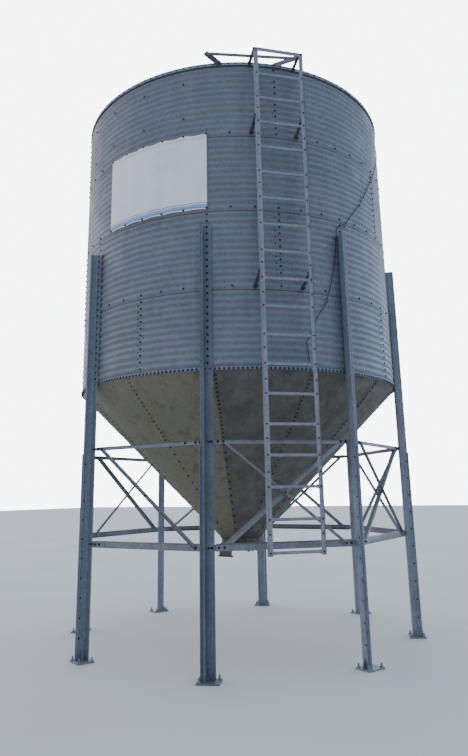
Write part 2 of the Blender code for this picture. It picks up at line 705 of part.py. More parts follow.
def build():
    """Build the whole silo."""
    clear_scene()
    collection = bpy.data.collections.new(COLLECTION_NAME)
    bpy.context.scene.collection.children.link(collection)
    wall = make_material("galvanised_wall", (0.30, 0.34, 0.39), 0.42, 0.9)
    roof = make_material("galvanised_roof", (0.34, 0.37, 0.40), 0.45, 0.9)
    hopper = make_material("dusty_hopper", (0.13, 0.13, 0.11), 0.6, 0.6)
    frame = make_material("galvanised_frame", (0.16, 0.21, 0.26), 0.5, 0.85)
    cloth = make_material("banner_cloth", (0.68, 0.69, 0.75), 0.7, 0.0)
    fibre = make_material("dark_rope", (0.03, 0.03, 0.035), 0.85, 0.0)
    build_wall(wall)
    build_hopper(hopper)
    build_outlet(hopper)
    build_roof(roof)
    build_legs(frame)
    build_braces(frame)
    build_ladder(frame)
    build_guard(frame)
    build_banner(cloth)
    build_rope(fibre)


build()
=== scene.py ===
"""Grain silo: the finished pieces and materials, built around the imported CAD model.

Lengths are metres and angles are degrees. +Z is up, and the origin is on the bin's axis at ground
level. An angle is measured around the bin from the front (-Y) towards +X. A repeated piece is
modelled once at the front, with X across it and -Y outwards, and copied to its places.
"""

from __future__ import annotations

import json
import logging
import math
from collections.abc import Callable, Iterable, Iterator, Sequence
from contextlib import contextmanager
from dataclasses import dataclass
from enum import Enum
from functools import partial
from itertools import pairwise
from typing import ClassVar

import bmesh
import bpy
from mathutils import Matrix, Vector

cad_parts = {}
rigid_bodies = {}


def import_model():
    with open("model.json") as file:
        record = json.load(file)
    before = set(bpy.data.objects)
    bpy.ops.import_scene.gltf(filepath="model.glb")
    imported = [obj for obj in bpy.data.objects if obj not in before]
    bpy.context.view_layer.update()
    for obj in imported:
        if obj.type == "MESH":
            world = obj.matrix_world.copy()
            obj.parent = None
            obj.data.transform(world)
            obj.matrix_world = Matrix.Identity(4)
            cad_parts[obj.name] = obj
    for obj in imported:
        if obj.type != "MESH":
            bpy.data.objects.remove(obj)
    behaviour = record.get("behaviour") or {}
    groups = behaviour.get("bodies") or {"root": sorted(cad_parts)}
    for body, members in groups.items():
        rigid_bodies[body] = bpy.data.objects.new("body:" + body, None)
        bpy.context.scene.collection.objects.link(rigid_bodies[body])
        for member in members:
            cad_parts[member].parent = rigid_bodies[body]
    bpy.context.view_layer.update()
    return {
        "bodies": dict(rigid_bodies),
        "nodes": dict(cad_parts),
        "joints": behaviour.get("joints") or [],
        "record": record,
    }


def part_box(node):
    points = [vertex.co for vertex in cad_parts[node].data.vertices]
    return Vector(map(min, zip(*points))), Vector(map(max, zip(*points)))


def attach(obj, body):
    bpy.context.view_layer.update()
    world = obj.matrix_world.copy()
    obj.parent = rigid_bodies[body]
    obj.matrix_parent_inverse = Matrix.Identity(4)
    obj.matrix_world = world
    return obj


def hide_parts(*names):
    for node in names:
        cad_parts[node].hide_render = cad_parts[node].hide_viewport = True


Piece = bpy.types.Object
Socket = bpy.types.NodeSocket
Adder = Callable[..., Socket]
Point = Sequence[float]

log = logging.getLogger("grain_silo")

# The clearance between pieces that lie on each other, and how far in from the crests a washer sits
GAP = 0.0003
SEAT = 0.0018
SIDES = (-1.0, 1.0)
SMOOTH_ANGLE = 32.0


class Slot(Enum):
    """The record's material slots."""

    WALL = "wall_steel"
    ROOF = "roof_steel"
    HOPPER = "hopper_steel"
    FRAME = "frame_steel"
    BANNER = "banner_cloth"
    ROPE = "rope_fibre"


class Element(Enum):
    """What an edit-mode selection is made of."""

    VERTEX = "VERT"
    EDGE = "EDGE"
    FACE = "FACE"


@dataclass(frozen=True)
class Bin:
    """The bin's main sizes, as the CAD model has them."""

    rim: float = 2.62
    ring: float = 0.8128
    rings: int = 4
    pitches: int = 12
    columns: int = 48
    column_pitch: float = 0.238125
    depth: float = 0.0127
    first_leg: float = 22.5
    legs: int = 8

    @property
    def wall_out(self) -> float:
        """How far out the crests of the corrugations are."""
        return self.columns * self.column_pitch / (2.0 * math.pi) + (self.depth + 0.001) / 2.0

    @property
    def eave(self) -> float:
        """The height of the wall's upper edge."""
        return self.seam(self.rings)

    @property
    def pitch(self) -> float:
        """The height of one corrugation."""
        return self.ring / self.pitches

    @property
    def step(self) -> float:
        """The angle between two columns of bolts."""
        return 360.0 / self.columns

    @property
    def leg_step(self) -> float:
        """The angle between two legs."""
        return 360.0 / self.legs

    def seam(self, ring: int) -> float:
        """The height of the seam above a number of rings."""
        return self.rim + ring * self.ring

    def column(self, number: float) -> float:
        """The angle of a column of bolts, counted from the nearest leg."""
        return self.first_leg + number * self.step


# Places


def turn(angle: float, axis: str = "Z") -> Matrix:
    """A turn about an axis: about Z, the one that brings the front to an angle of the bin."""
    return Matrix.Rotation(math.radians(angle), 4, axis)


def shift(across: float, along: float, up: float) -> Matrix:
    """A move by three lengths."""
    return Matrix.Translation((across, along, up))


def spot(angle: float, out: float, height: float, across: float = 0.0) -> Matrix:
    """The place at an angle, a distance out, a height and a shift sideways."""
    return turn(angle) @ shift(across, -out, height)


def ring_of(count: int, first: float = 0.0) -> list[float]:
    """Angles spaced evenly round the bin."""
    return [first + number * 360.0 / count for number in range(count)]


def beam_frame(start: Point, end: Point, out: Point) -> tuple[Matrix, float]:
    """The frame of a bar that runs from one point to another.

    Args:
        start: The first end.
        end: The second end.
        out: The direction that the bar's Y side is turned towards.

    Returns:
        The matrix that brings the bar there from +Z at the origin, and the bar's length.
    """
    run = Vector(end) - Vector(start)
    along = run.normalized()
    side_y = (Vector(out) - Vector(out).dot(along) * along).normalized()
    axes = Matrix((side_y.cross(along), side_y, along)).transposed().to_4x4()
    return Matrix.Translation(start) @ axes, run.length


# Workbench: Blender's own modelling operators


def select(*pieces: Piece) -> None:
    """Select some pieces and no others, with the first one active.

    Args:
        pieces: What is selected, which may be nothing.
    """
    bpy.ops.object.select_all(action="DESELECT")
    for piece in pieces:
        piece.select_set(True)
    bpy.context.view_layer.objects.active = pieces[0] if pieces else None


@contextmanager
def editing(piece: Piece) -> Iterator[None]:
    """Edit mode on one piece, with all of it selected at the start.

    Args:
        piece: The piece that is edited.
    """
    select(piece)
    bpy.ops.object.mode_set(mode="EDIT")
    bpy.ops.mesh.select_mode(type=Element.VERTEX.value)
    bpy.ops.mesh.select_all(action="SELECT")
    yield
    bpy.ops.object.mode_set(mode="OBJECT")


def pick(piece: Piece, element: Element, wanted: Callable[..., bool]) -> None:
    """Select, in edit mode, the elements that pass a test and no others.

    Args:
        piece: The piece in edit mode.
        element: What is selected.
        wanted: Says of one element whether it is selected.
    """
    bpy.ops.mesh.select_mode(type=element.value)
    bpy.ops.mesh.select_all(action="DESELECT")
    work = bmesh.from_edit_mesh(piece.data)
    for item in {Element.VERTEX: work.verts, Element.EDGE: work.edges, Element.FACE: work.faces}[element]:
        if wanted(item):
            item.select_set(True)
    work.select_flush_mode()
    bmesh.update_edit_mesh(piece.data)


def extrude(run: Point) -> None:
    """Extrude what is selected, in edit mode."""
    bpy.ops.mesh.extrude_region_move(TRANSFORM_OT_translate={"value": run})


def rename(piece: Piece, name: str) -> Piece:
    """Give a piece and its mesh one name."""
    piece.name = piece.data.name = name
    return piece


def named(name: str) -> Piece:
    """The primitive that was just added, under its name, with its place in its mesh."""
    bpy.ops.object.transform_apply(location=True, rotation=True, scale=True)
    return rename(bpy.context.object, name)


def settle(piece: Piece, matrix: Matrix) -> Piece:
    """Move a piece's mesh, with its object left at the origin."""
    piece.data.transform(matrix)
    return piece


def join(pieces: Sequence[Piece], name: str) -> Piece:
    """Join pieces into one, with one name.

    Args:
        pieces: The pieces, of which the first takes in the others.
        name: The name of what they make.

    Returns:
        The first piece, with all the others in it.
    """
    select(*pieces)
    if len(pieces) > 1:
        bpy.ops.object.join()
    return rename(pieces[0], name)


def copied(source: Piece, name: str, matrix: Matrix) -> Piece:
    """A copy of a piece with a mesh of its own, brought to its place.

    Args:
        source: The piece that is copied.
        name: The copy's name.
        matrix: Where its mesh is brought.

    Returns:
        The copy.
    """
    piece = source.copy()
    piece.data = source.data.copy()
    bpy.context.collection.objects.link(piece)
    return settle(rename(piece, name), matrix)


def spread(source: Piece, name: str, places: Iterable[Matrix]) -> Piece:
    """Copy a piece to several places and join the copies."""
    return join([copied(source, name, place) for place in places], name)


def discard(*pieces: Piece) -> None:
    """Take patterns that have been copied out of the scene."""
    for piece in pieces:
        bpy.data.objects.remove(piece, do_unlink=True)


def apply_modifier(piece: Piece, kind: str, **settings: object) -> None:
    """Add a modifier with its settings and apply it.

    Args:
        piece: The piece.
        kind: The modifier's type.
        settings: The modifier's settings, by name.
    """
    select(piece)
    modifier = piece.modifiers.new("work", kind)
    for name, value in settings.items():
        setattr(modifier, name, value)
    bpy.ops.object.modifier_apply(modifier=modifier.name)


def face_outwards(piece: Piece) -> None:
    """Point the faces of a closed piece outwards."""
    with editing(piece):
        bpy.ops.mesh.normals_make_consistent(inside=False)


def thicken(piece: Piece, thickness: float) -> Piece:
    """Give a plate its thickness, half on each side.

    Args:
        piece: A plate that has no thickness yet.
        thickness: Its thickness.

    Returns:
        The same piece, with its faces outwards.
    """
    apply_modifier(piece, "SOLIDIFY", thickness=thickness, offset=0.0, use_even_offset=True)
    face_outwards(piece)
    return piece


def ease(piece: Piece, width: float, segments: int = 1, angle: float = 40.0) -> Piece:
    """Break a piece's edges that are sharper than an angle.

    Args:
        piece: The piece.
        width: How wide its broken edges are.
        segments: How many faces each broken edge has.
        angle: How sharp an edge has to be to be broken.

    Returns:
        The same piece.
    """
    apply_modifier(piece, "BEVEL", width=width, segments=segments, limit_method="ANGLE",
                   angle_limit=math.radians(angle), harden_normals=False)
    return piece


def draw_chain(name: str, points: Sequence[Point], fold: float = 0.0, closed: bool = False) -> Piece:
    """Draw a chain of edges by extruding one vertex from point to point.

    Args:
        name: The piece's name.
        points: The chain's points.
        fold: How far each inner point is rounded, as a brake press does.
        closed: Whether the chain ends where it starts, and is filled with a face.

    Returns:
        A piece of edges, or of one face.
    """
    select()
    bpy.ops.mesh.primitive_plane_add(size=0.01)
    piece = named(name)
    with editing(piece):
        bpy.ops.mesh.merge(type="CENTER")
        bpy.ops.transform.translate(value=points[0])
        for start, end in pairwise(points):
            extrude(Vector(end) - Vector(start))
        if closed:
            bpy.ops.mesh.select_all(action="SELECT")
            bpy.ops.mesh.edge_face_add()
    if fold:
        with editing(piece):
            pick(piece, Element.VERTEX, lambda vertex: len(vertex.link_edges) == 2)
            bpy.ops.mesh.bevel(offset_type="OFFSET", offset=fold, segments=3, affect="VERTICES")
    return piece


def drawn_out(name: str, outline: Iterable[Point], ends: tuple[float, float], axis: str, fold: float = 0.0,
              closed: bool = False) -> Piece:
    """Draw a flat outline across an axis and extrude it along that axis.

    Args:
        name: The piece's name.
        outline: The outline's points, each in the two other axes.
        ends: Where along the axis the piece starts and ends.
        axis: The axis.
        fold: How far each inner point is rounded.
        closed: Whether the outline is a closed one.

    Returns:
        The extruded piece.
    """
    place, (low, high) = "XYZ".index(axis), ends
    piece = draw_chain(name, [(*point[:place], low, *point[place:]) for point in outline], fold, closed)
    with editing(piece):
        extrude([high - low if letter == axis else 0.0 for letter in "XYZ"])
    return piece


def folded(name: str, outline: Iterable[Point], ends: tuple[float, float], thickness: float, fold: float,
           axis: str = "Z") -> Piece:
    """A cold-formed section: an outline with rounded folds, run to its length and given its gauge.

    Args:
        name: The piece's name.
        outline: Points along the middle of the steel, each in the two axes across the section.
        ends: Where along its axis it starts and ends.
        thickness: The gauge.
        fold: How far each fold is rounded from its corner.
        axis: The axis that it runs along.

    Returns:
        The closed piece.
    """
    return thicken(drawn_out(name, outline, ends, axis, fold), thickness)


def rolled(name: str, profile: Iterable[Point], gauge: float = 0.0, sweep: float = 360.0, steps: int = 48,
           fold: float = 0.0) -> Piece:
    """Sheet steel rolled round the bin's axis, from the front towards +X.

    Args:
        name: The piece's name.
        profile: Points along the middle of the steel, each a distance out and a height.
        gauge: Its thickness, or nothing for a bare surface.
        sweep: The angle that it is rolled through.
        steps: The number of flats.
        fold: How far each fold is rounded from its corner.

    Returns:
        The piece.
    """
    piece = draw_chain(name, [(0.0, -out, height) for out, height in profile], fold)
    with editing(piece):
        bpy.ops.mesh.spin(steps=steps, angle=-math.radians(sweep), center=(0.0, 0.0, 0.0), axis=(0.0, 0.0, 1.0))
        bpy.ops.mesh.select_all(action="SELECT")
        bpy.ops.mesh.remove_doubles(threshold=0.00002)
    return thicken(piece, gauge) if gauge else piece


def cut_plate(name: str, outline: Iterable[Point], ends: tuple[float, float], edge: float,
              axis: str = "Z") -> Piece:
    """A plate cut to a closed outline, with its edges broken.

    Args:
        name: The piece's name.
        outline: The outline's points, each in the two axes across the plate.
        ends: Where along its axis it starts and ends.
        edge: How wide its broken edges are, or nothing where they stay sharp.
        axis: The axis through its thickness.

    Returns:
        The closed piece.
    """
    piece = drawn_out(name, outline, ends, axis, closed=True)
    face_outwards(piece)
    return ease(piece, edge) if edge else piece


def slab(name: str, low: Point, high: Point, edge: float) -> Piece:
    """A square-cut plate, with its edges broken.

    Args:
        name: The piece's name.
        low: Its lowest corner.
        high: Its highest corner.
        edge: How wide its broken edges are.

    Returns:
        The piece.
    """
    low, high = Vector(low), Vector(high)
    select()
    bpy.ops.mesh.primitive_cube_add(size=1.0, location=(low + high) / 2.0, scale=high - low)
    return ease(named(name), edge)


def round_bar(name: str, radius: float, start: Point, end: Point, sides: int = 12) -> Piece:
    """A round bar with its end edges broken.

    Args:
        name: The piece's name.
        radius: The bar's radius.
        start: Its first end.
        end: Its second end.
        sides: The number of flats round it.

    Returns:
        The piece.
    """
    frame, length = beam_frame(start, end, (0.013, -1.0, 0.017))
    select()
    bpy.ops.mesh.primitive_cylinder_add(
        vertices=sides, radius=radius, depth=length, location=(0.0, 0.0, length / 2.0))
    return settle(ease(named(name), radius * 0.2), frame)


def poly_curve(name: str, points: Sequence[Point], dimensions: str, cyclic: bool) -> Piece:
    """A curve of one spline that runs straight from point to point.

    Args:
        name: The curve's name.
        points: The curve's points.
        dimensions: Whether it is flat: 2D or 3D.
        cyclic: Whether it ends where it starts.

    Returns:
        The curve's object.
    """
    curve = bpy.data.curves.new(name, "CURVE")
    curve.dimensions = dimensions
    spline = curve.splines.new("POLY")
    spline.points.add(len(points) - 1)
    for knot, point in zip(spline.points, points):
        knot.co = (*point, 1.0)
    spline.use_cyclic_u = cyclic
    piece = bpy.data.objects.new(name, curve)
    bpy.context.collection.objects.link(piece)
    return piece


# Finishes


def linear(hex_colour: str) -> tuple[float, float, float, float]:
    """An sRGB hex colour as linear red, green, blue and alpha.

    Args:
        hex_colour: Red, green and blue, as #RRGGBB.

    Returns:
        The four values that a shader takes.
    """
    values = [int(hex_colour[index:index + 2], 16) / 255.0 for index in (1, 3, 5)]
    parts = [value / 12.92 if value <= 0.04045 else ((value + 0.055) / 1.055) ** 2.4 for value in values]
    return parts[0], parts[1], parts[2], 1.0


def fill_input(tree: bpy.types.NodeTree, socket: Socket, value: object) -> None:
    """Give an input a number, a vector, an sRGB hex colour or another node's output.

    Args:
        tree: The node tree.
        socket: The input.
        value: What it takes.
    """
    if isinstance(value, bpy.types.NodeSocket):
        tree.links.new(value, socket)
    else:
        socket.default_value = linear(value) if isinstance(value, str) else value


def add_node(tree: bpy.types.NodeTree, kind: str, *values: object, out: str = "", **options: object) -> Socket:
    """Add a node, set it up and link it.

    Args:
        tree: The node tree.
        kind: The node's type, without the words that all types start with.
        values: What its first inputs take.
        out: The output that is wanted, if it isn't the first.
        options: Its settings, which are words in capitals, and what other inputs take, by name.

    Returns:
        The node's output.
    """
    node = tree.nodes.new(f"ShaderNode{kind}")
    words = {name: value for name, value in options.items() if isinstance(value, str) and value[0] != "#"}
    for name, value in words.items():
        setattr(node, name, value)
    for socket, value in zip([socket for socket in node.inputs if socket.enabled], values):
        fill_input(tree, socket, value)
    for name, value in options.items():
        if name not in words:
            fill_input(tree, node.inputs[name.replace("_", " ").title()], value)
    return node.outputs[out] if out else next((socket for socket in node.outputs if socket.enabled), None)


SMOOTH = {"interpolation_type": "SMOOTHSTEP"}
COLOURS = {"data_type": "RGBA"}


@dataclass(frozen=True)
class Coating:
    """A finish: a material whose shader inputs its kind works out."""

    name: str

    def inputs(self, add: Adder, place: Socket) -> dict[str, object]:
        """What the shader's inputs take.

        Args:
            add: Adds a node to the material.
            place: The place in the object.

        Returns:
            A value, or a node's output, for each input's name.
        """
        raise NotImplementedError

    def make(self) -> bpy.types.Material:
        """Build the material.

        Returns:
            The material.
        """
        material = bpy.data.materials.new(self.name)
        material.use_nodes = True
        tree = material.node_tree
        add = partial(add_node, tree)
        shader = tree.nodes["Principled BSDF"]
        for name, value in self.inputs(add, add("TexCoord", out="Object")).items():
            fill_input(tree, shader.inputs[name], value)
        return material


@dataclass(frozen=True)
class GalvanisedSteel(Coating):
    """Hot-dip galvanised sheet that has weathered.

    Its zinc has crystals a little lighter and darker than each other, the shine has gone dull and
    patchy, and rain has drawn grime down it.
    """

    light: str
    dark: str
    # Grime's colour, which on the wall also paints the shade under the laps
    grime_and_shade: str
    metallic: float = 0.45
    roughness: float = 0.5
    spangle: float = 0.022
    crystal_share: float = 0.45
    streaks: float = 0.3
    rust: str = "#5E4432"
    rust_amount: float = 0.25

    def painted_slope_reflections(self, add: Adder, place: Socket, colour: Socket) -> Socket:
        """The colour with painted reflections on its slopes, which plain sections don't have."""
        return colour

    def grime_and_shade_share(self, add: Adder, place: Socket) -> Socket:
        """How much grime there is: in upright streaks.

        Args:
            add: Adds a node to the material.
            place: The place in the object.

        Returns:
            The share, from 0 to 1.
        """
        stretched = add("Mapping", place, scale=(11.0, 11.0, 0.9))
        noise = add("TexNoise", stretched, scale=1.0, detail=5.0, roughness=0.62)
        return add("MapRange", noise, 0.46, 0.74, 0.0, self.streaks, **SMOOTH)

    def inputs(self, add: Adder, place: Socket) -> dict[str, object]:
        """What the shader's inputs take."""
        # Real crystals are 5 to 15 mm across; they are drawn a little larger, so that they show
        crystal = add("SeparateColor", add("TexVoronoi", place, scale=1.0 / self.spangle, out="Color"))
        patches = add("TexNoise", place, scale=2.6, detail=8.0, roughness=0.66)
        mixed = add("Math", crystal, self.crystal_share, patches, operation="MULTIPLY_ADD")
        tone = add("MapRange", mixed, 0.35, 0.65 + self.crystal_share)
        zinc = add("Mix", tone, self.light, self.dark, **COLOURS)
        # For the wall this colour also carries the painted reflections on the slopes and the painted shade under the
        # laps
        zinc_with_dirt_and_painted_light = add("Mix", self.grime_and_shade_share(add, place), self.painted_slope_reflections(add, place, zinc), self.grime_and_shade, **COLOURS)
        specks = add("TexNoise", place, scale=7.0, detail=9.0, roughness=0.72)
        speck = add("MapRange", specks, 0.6, 0.7, 0.0, self.rust_amount, **SMOOTH)
        grain = add("TexNoise", place, scale=160.0, detail=3.0)
        return {"Base Color": add("Mix", speck, zinc_with_dirt_and_painted_light, self.rust, **COLOURS),
                "Roughness": add("MapRange", patches, 0.3, 0.7, self.roughness - 0.07, self.roughness + 0.1),
                "Metallic": self.metallic,
                "Normal": add("Bump", height=grain, strength=0.12, distance=0.0008)}


@dataclass(frozen=True)
class WallSteel(GalvanisedSteel):
    """Galvanised corrugated sheet.

    Each corrugation's upper slope has a painted bluish reflection of the sky and its lower slope a painted
    brownish reflection of the ground, so the wall is finely striped. A dark line under the edge of each lap
    paints the shadow of the gap there, with dirt.
    """

    bin: Bin = Bin()
    lap: float = 0.0339
    # The height of the dark line under each lap's edge: painted shadow of the gap there, with dirt
    line: float = 0.009
    # Painted reflections: bluish sky on each upper slope, brownish ground on each lower slope
    sky_reflection: str = "#7C90AC"
    ground_reflection: str = "#6F6A72"
    sky_reflection_share: float = 0.42
    ground_reflection_share: float = 0.34

    def painted_slope_reflections(self, add: Adder, place: Socket, colour: Socket) -> Socket:
        """The zinc with a painted sky reflection on its upper slopes and a painted ground reflection on its lower
        slopes, by the height in each corrugation.
        """
        ragged = add("TexNoise", place, scale=9.0, detail=6.0)
        height = add("Math", ragged, 0.016, add("SeparateXYZ", place, out="Z"), operation="MULTIPLY_ADD")
        above = add("Math", height, self.bin.rim + 0.008, operation="SUBTRACT")
        phase = add("Math", above, 2.0 * math.pi / self.bin.pitch, operation="MULTIPLY")
        slope = add("Math", phase, operation="SINE")
        # Paint the sky's reflection on the upper slopes and the ground's on the lower slopes
        for end, paint, share in ((1.0, self.sky_reflection, self.sky_reflection_share), (-1.0, self.ground_reflection, self.ground_reflection_share)):
            colour = add("Mix", add("MapRange", slope, 0.0, end, 0.0, share, **SMOOTH), colour, paint, **COLOURS)
        return colour

    def grime_and_shade_share(self, add: Adder, place: Socket) -> Socket:
        """How much grime and painted shade there is: grime streaks that start at the laps, and a dark line under each
        lap's edge, which is painted shadow of the gap there, with dirt.
        """
        streaks = super().grime_and_shade_share(add, place)
        above = add("Math", add("SeparateXYZ", place, out="Z"), self.bin.rim - self.lap, operation="SUBTRACT")
        rings = add("Math", above, self.bin.ring, operation="DIVIDE")
        # The top ring's upper half gets no dark lap line and no stronger streaks: nothing laps over it but the roof's
        # edge
        part = add("Math", add("Math", rings, 3.5, operation="MINIMUM"), operation="FRACT")
        share = self.line / self.bin.ring
        # The dark line just under each lap's edge: painted shadow of the gap there, with dirt
        lap_shade_and_dirt = add("MapRange", part, 1.0 - 1.5 * share, 1.0 - 0.8 * share, 0.0, 0.8, **SMOOTH)
        fading = add("MapRange", part, 0.45, 1.0, 0.55, 1.3)
        return add("Math", add("Math", streaks, fading, operation="MULTIPLY"), lap_shade_and_dirt, operation="MAXIMUM")


@dataclass(frozen=True)
class DustySteel(Coating):
    """Galvanised sheet under a coat of brown field dust, washed into runs down the slope."""

    dust: str
    bare: str
    deep: str
    worn_share: float = 0.8
    metallic: float = 0.12
    roughness: float = 0.78

    def inputs(self, add: Adder, place: Socket) -> dict[str, object]:
        """What the shader's inputs take."""
        # The angle round the cone, from 0 to 1, carries the runs down the slope
        angle = add("TexGradient", place, gradient_type="RADIAL", out="Fac")
        run_place = add("CombineXYZ", add("Math", angle, 95.0, operation="MULTIPLY"),
                        z=add("SeparateXYZ", place, out="Z"))
        runs = add("TexNoise", run_place, scale=1.6, detail=8.0, roughness=0.7)
        clouds = add("TexNoise", place, scale=6.0, detail=9.0, roughness=0.72)
        both = add("Math", runs, 0.5, clouds, operation="MULTIPLY_ADD")
        worn = add("MapRange", both, 0.62, 0.92, 0.0, self.worn_share, **SMOOTH)
        dusty = add("Mix", worn, self.dust, self.bare, **COLOURS)
        blots = add("TexNoise", place, scale=16.0, detail=9.0, roughness=0.8)
        dark = add("MapRange", add("Math", blots, clouds, operation="ADD"), 1.06, 0.76, 0.0, 0.66, **SMOOTH)
        grit = add("TexNoise", place, scale=260.0, detail=4.0)
        return {"Base Color": add("Mix", dark, dusty, self.deep, **COLOURS),
                "Roughness": add("MapRange", worn, to_min=self.roughness, to_max=self.roughness - 0.2),
                "Metallic": self.metallic,
                "Normal": add("Bump", height=grit, strength=0.25, distance=0.001)}


@dataclass(frozen=True)
class PlainCoat(Coating):
    """One even material, a little mottled: zinc plate, rubber, painted plate or the studio's floor."""

    first: str
    second: str
    metallic: float
    roughness: float
    mottle: float = 60.0

    def inputs(self, add: Adder, place: Socket) -> dict[str, object]:
        """What the shader's inputs take."""
        tone = add("MapRange", add("TexNoise", place, scale=self.mottle, detail=5.0), 0.35, 0.65)
        return {"Base Color": add("Mix", tone, self.first, self.second, **COLOURS), "Metallic": self.metallic,
                "Roughness": self.roughness}


@dataclass(frozen=True)
class BannerCloth(Coating):
    """Coated polyester banner cloth: a fine plain weave under a matt coat, with printed stripes."""

    cloth: str
    soiled: str
    stripe: str
    line: str
    edge: str
    thread: float = 0.004

    def inputs(self, add: Adder, place: Socket) -> dict[str, object]:
        """What the shader's inputs take, with stripes that follow the sheet's own UV map."""
        sheet = add("TexCoord", out="UV")
        clouds = add("TexNoise", place, scale=2.6, detail=7.0, roughness=0.62)
        soil = add("MapRange", clouds, 0.45, 0.75, 0.0, 0.5, **SMOOTH)
        colour = add("Mix", soil, self.cloth, self.soiled, **COLOURS)
        for low, high, paint, strength, axis in (
                (0.015, 0.068, self.stripe, 0.95, "Y"), (0.015, 0.04, self.line, 0.35, "Y"),
                (0.08, 0.09, self.line, 0.8, "Y"), (0.93, 0.96, self.stripe, 0.3, "Y"),
                (-0.02, 0.004, self.edge, 0.5, "Y"), (0.989, 1.02, self.edge, 0.85, "Y"),
                (0.994, 1.02, self.edge, 0.85, "X")):
            middle, half = (low + high) / 2.0, (high - low) / 2.0
            distance = add("Math", add("SeparateXYZ", sheet, out=axis), middle, operation="SUBTRACT")
            size = add("Math", distance, operation="ABSOLUTE")
            inside = add("MapRange", size, half + 0.001, half - 0.001, 0.0, strength)
            colour = add("Mix", inside, colour, paint, **COLOURS)
        # Real threads are about 1 mm apart; they are drawn at 4 mm, so that the weave shows
        weave = add("TexBrick", sheet, out="Fac", scale=1.0 / self.thread, mortar_size=0.25, brick_width=1.0,
                    row_height=0.7)
        return {"Base Color": colour, "Roughness": 0.62, "Sheen Weight": 0.1,
                "Normal": add("Bump", height=weave, strength=0.12, distance=0.0004)}


class Finish(Enum):
    """Every finish of the silo and its floor."""

    WALL = WallSteel("galvanised_wall_sheet", "#828895", "#6C727C", "#544A42", streaks=0.22)
    ROOF = GalvanisedSteel("galvanised_roof_sheet", "#97A1AC", "#7B8591", "#54575A")
    STRAP = PlainCoat("dull_brown_strap", "#5E5660", "#443F49", 0.2, 0.75, mottle=40.0)
    ROD = PlainCoat("violet_grey_bar", "#8F8293", "#776C7B", 0.1, 0.6, mottle=40.0)
    HOPPER = DustySteel("dusty_hopper_sheet", "#837E69", "#6D6D63", "#514E42")
    GREY_HOPPER = DustySteel("dull_hopper_sheet", "#605C57", "#696763", "#4B4845")
    FRAME = GalvanisedSteel("galvanised_leg_section", "#8F9AAA", "#747E8E", "#4C4E57", metallic=0.4)
    # A darker copy of the leg finish for the front leg: painted shade
    SHADED = GalvanisedSteel("dull_leg_section", "#757E8C", "#616A79", "#3C3E46", metallic=0.4)
    BRACE = GalvanisedSteel("galvanised_brace_angle", "#8A9199", "#72777F", "#4B4744", metallic=0.35)
    RAIL = GalvanisedSteel("galvanised_ladder_steel", "#9A9DAA", "#828594", "#514E57", metallic=0.35, roughness=0.6)
    DARK = PlainCoat("blue_black_painted_plate", "#465260", "#353E49", 0.2, 0.6, mottle=25.0)
    HEAD = PlainCoat("weathered_zinc_bolt", "#262B3A", "#181B26", 0.3, 0.6)
    WASHER = PlainCoat("sealing_rubber", "#12141B", "#0B0C11", 0.0, 0.8)
    # Dark dabs at the laps' edges: painted shadow, with dirt
    MASTIC = PlainCoat("dark_lap_mastic", "#2E3036", "#22242A", 0.0, 0.85)
    BANNER = BannerCloth("coated_banner_cloth", "#F8F8FF", "#DADBE8", "#8FB3E6", "#5A6A86", "#6A4038")
    ROPE = PlainCoat("grey_twisted_fibre", "#3A3B42", "#26272C", 0.0, 0.9, mottle=220.0)
    FLOOR = PlainCoat("studio_floor", "#E2DED7", "#DDD9D2", 0.0, 0.9, mottle=0.6)

    @property
    def material(self) -> bpy.types.Material:
        """The finish's material, made when it is first used."""
        return bpy.data.materials.get(self.value.name) or self.value.make()


# Fasteners


@dataclass(frozen=True)
class Fastener:
    """A bolt: a hexagon head, or a nut on its stud, on a round washer."""

    washer_radius: float
    washer_height: float
    head_radius: float
    head_height: float
    stud: float = 0.0
    washer_sides: int = 10
    head: Finish = Finish.HEAD
    washer: Finish = Finish.WASHER

    def _disc(self, sides: int, radius: float, base: float, height: float, finish: Finish) -> Piece:
        """One turned piece of the bolt, with its outer edge chamfered.

        Args:
            sides: The number of flats round it.
            radius: Its radius.
            base: How far out it starts.
            height: How far out it reaches from there.
            finish: Its finish.

        Returns:
            The piece.
        """
        select()
        bpy.ops.mesh.primitive_cylinder_add(
            vertices=sides, radius=radius, depth=height, location=(0.0, -base - height / 2.0, 0.0),
            rotation=(math.pi / 2.0, 0.0, 0.0))
        piece = named("disc")
        chamfer = min(radius, height) * 0.3
        with editing(piece):
            pick(piece, Element.FACE, lambda face: face.normal.y < -0.9)
            bpy.ops.mesh.inset(thickness=chamfer, depth=0.0)
            pick(piece, Element.EDGE, lambda edge: all(
                vertex.co.y < -base - height + GAP and math.hypot(vertex.co.x, vertex.co.z) > radius - chamfer / 2.0
                for vertex in edge.verts))
            bpy.ops.transform.translate(value=(0.0, chamfer * 0.6, 0.0))
        piece.data.materials.append(finish.material)
        return piece

    def model(self) -> Piece:
        """Model the bolt at the front's origin, with its head outwards.

        Returns:
            The bolt, as one piece.
        """
        seat = self.washer_height + self.head_height
        pieces = [self._disc(self.washer_sides, self.washer_radius, 0.0, self.washer_height, self.washer),
                  self._disc(6, self.head_radius, self.washer_height, self.head_height, self.head)]
        if self.stud:
            pieces.append(self._disc(8, self.head_radius * 0.55, seat, self.stud, self.head))
        return join(pieces, "fastener")


class Bolt(Enum):
    """The kinds of bolt on the silo."""

    SEAL = Fastener(0.011, 0.0035, 0.008, 0.0055)
    SMALL = Fastener(0.0085, 0.0025, 0.0062, 0.0045, washer_sides=8)
    FRAME = Fastener(0.0125, 0.0025, 0.0095, 0.007, stud=0.004, washer=Finish.HEAD)
    ANCHOR = Fastener(0.02, 0.003, 0.0145, 0.013, stud=0.022, head=Finish.RAIL, washer=Finish.RAIL)


# Sub-assemblies


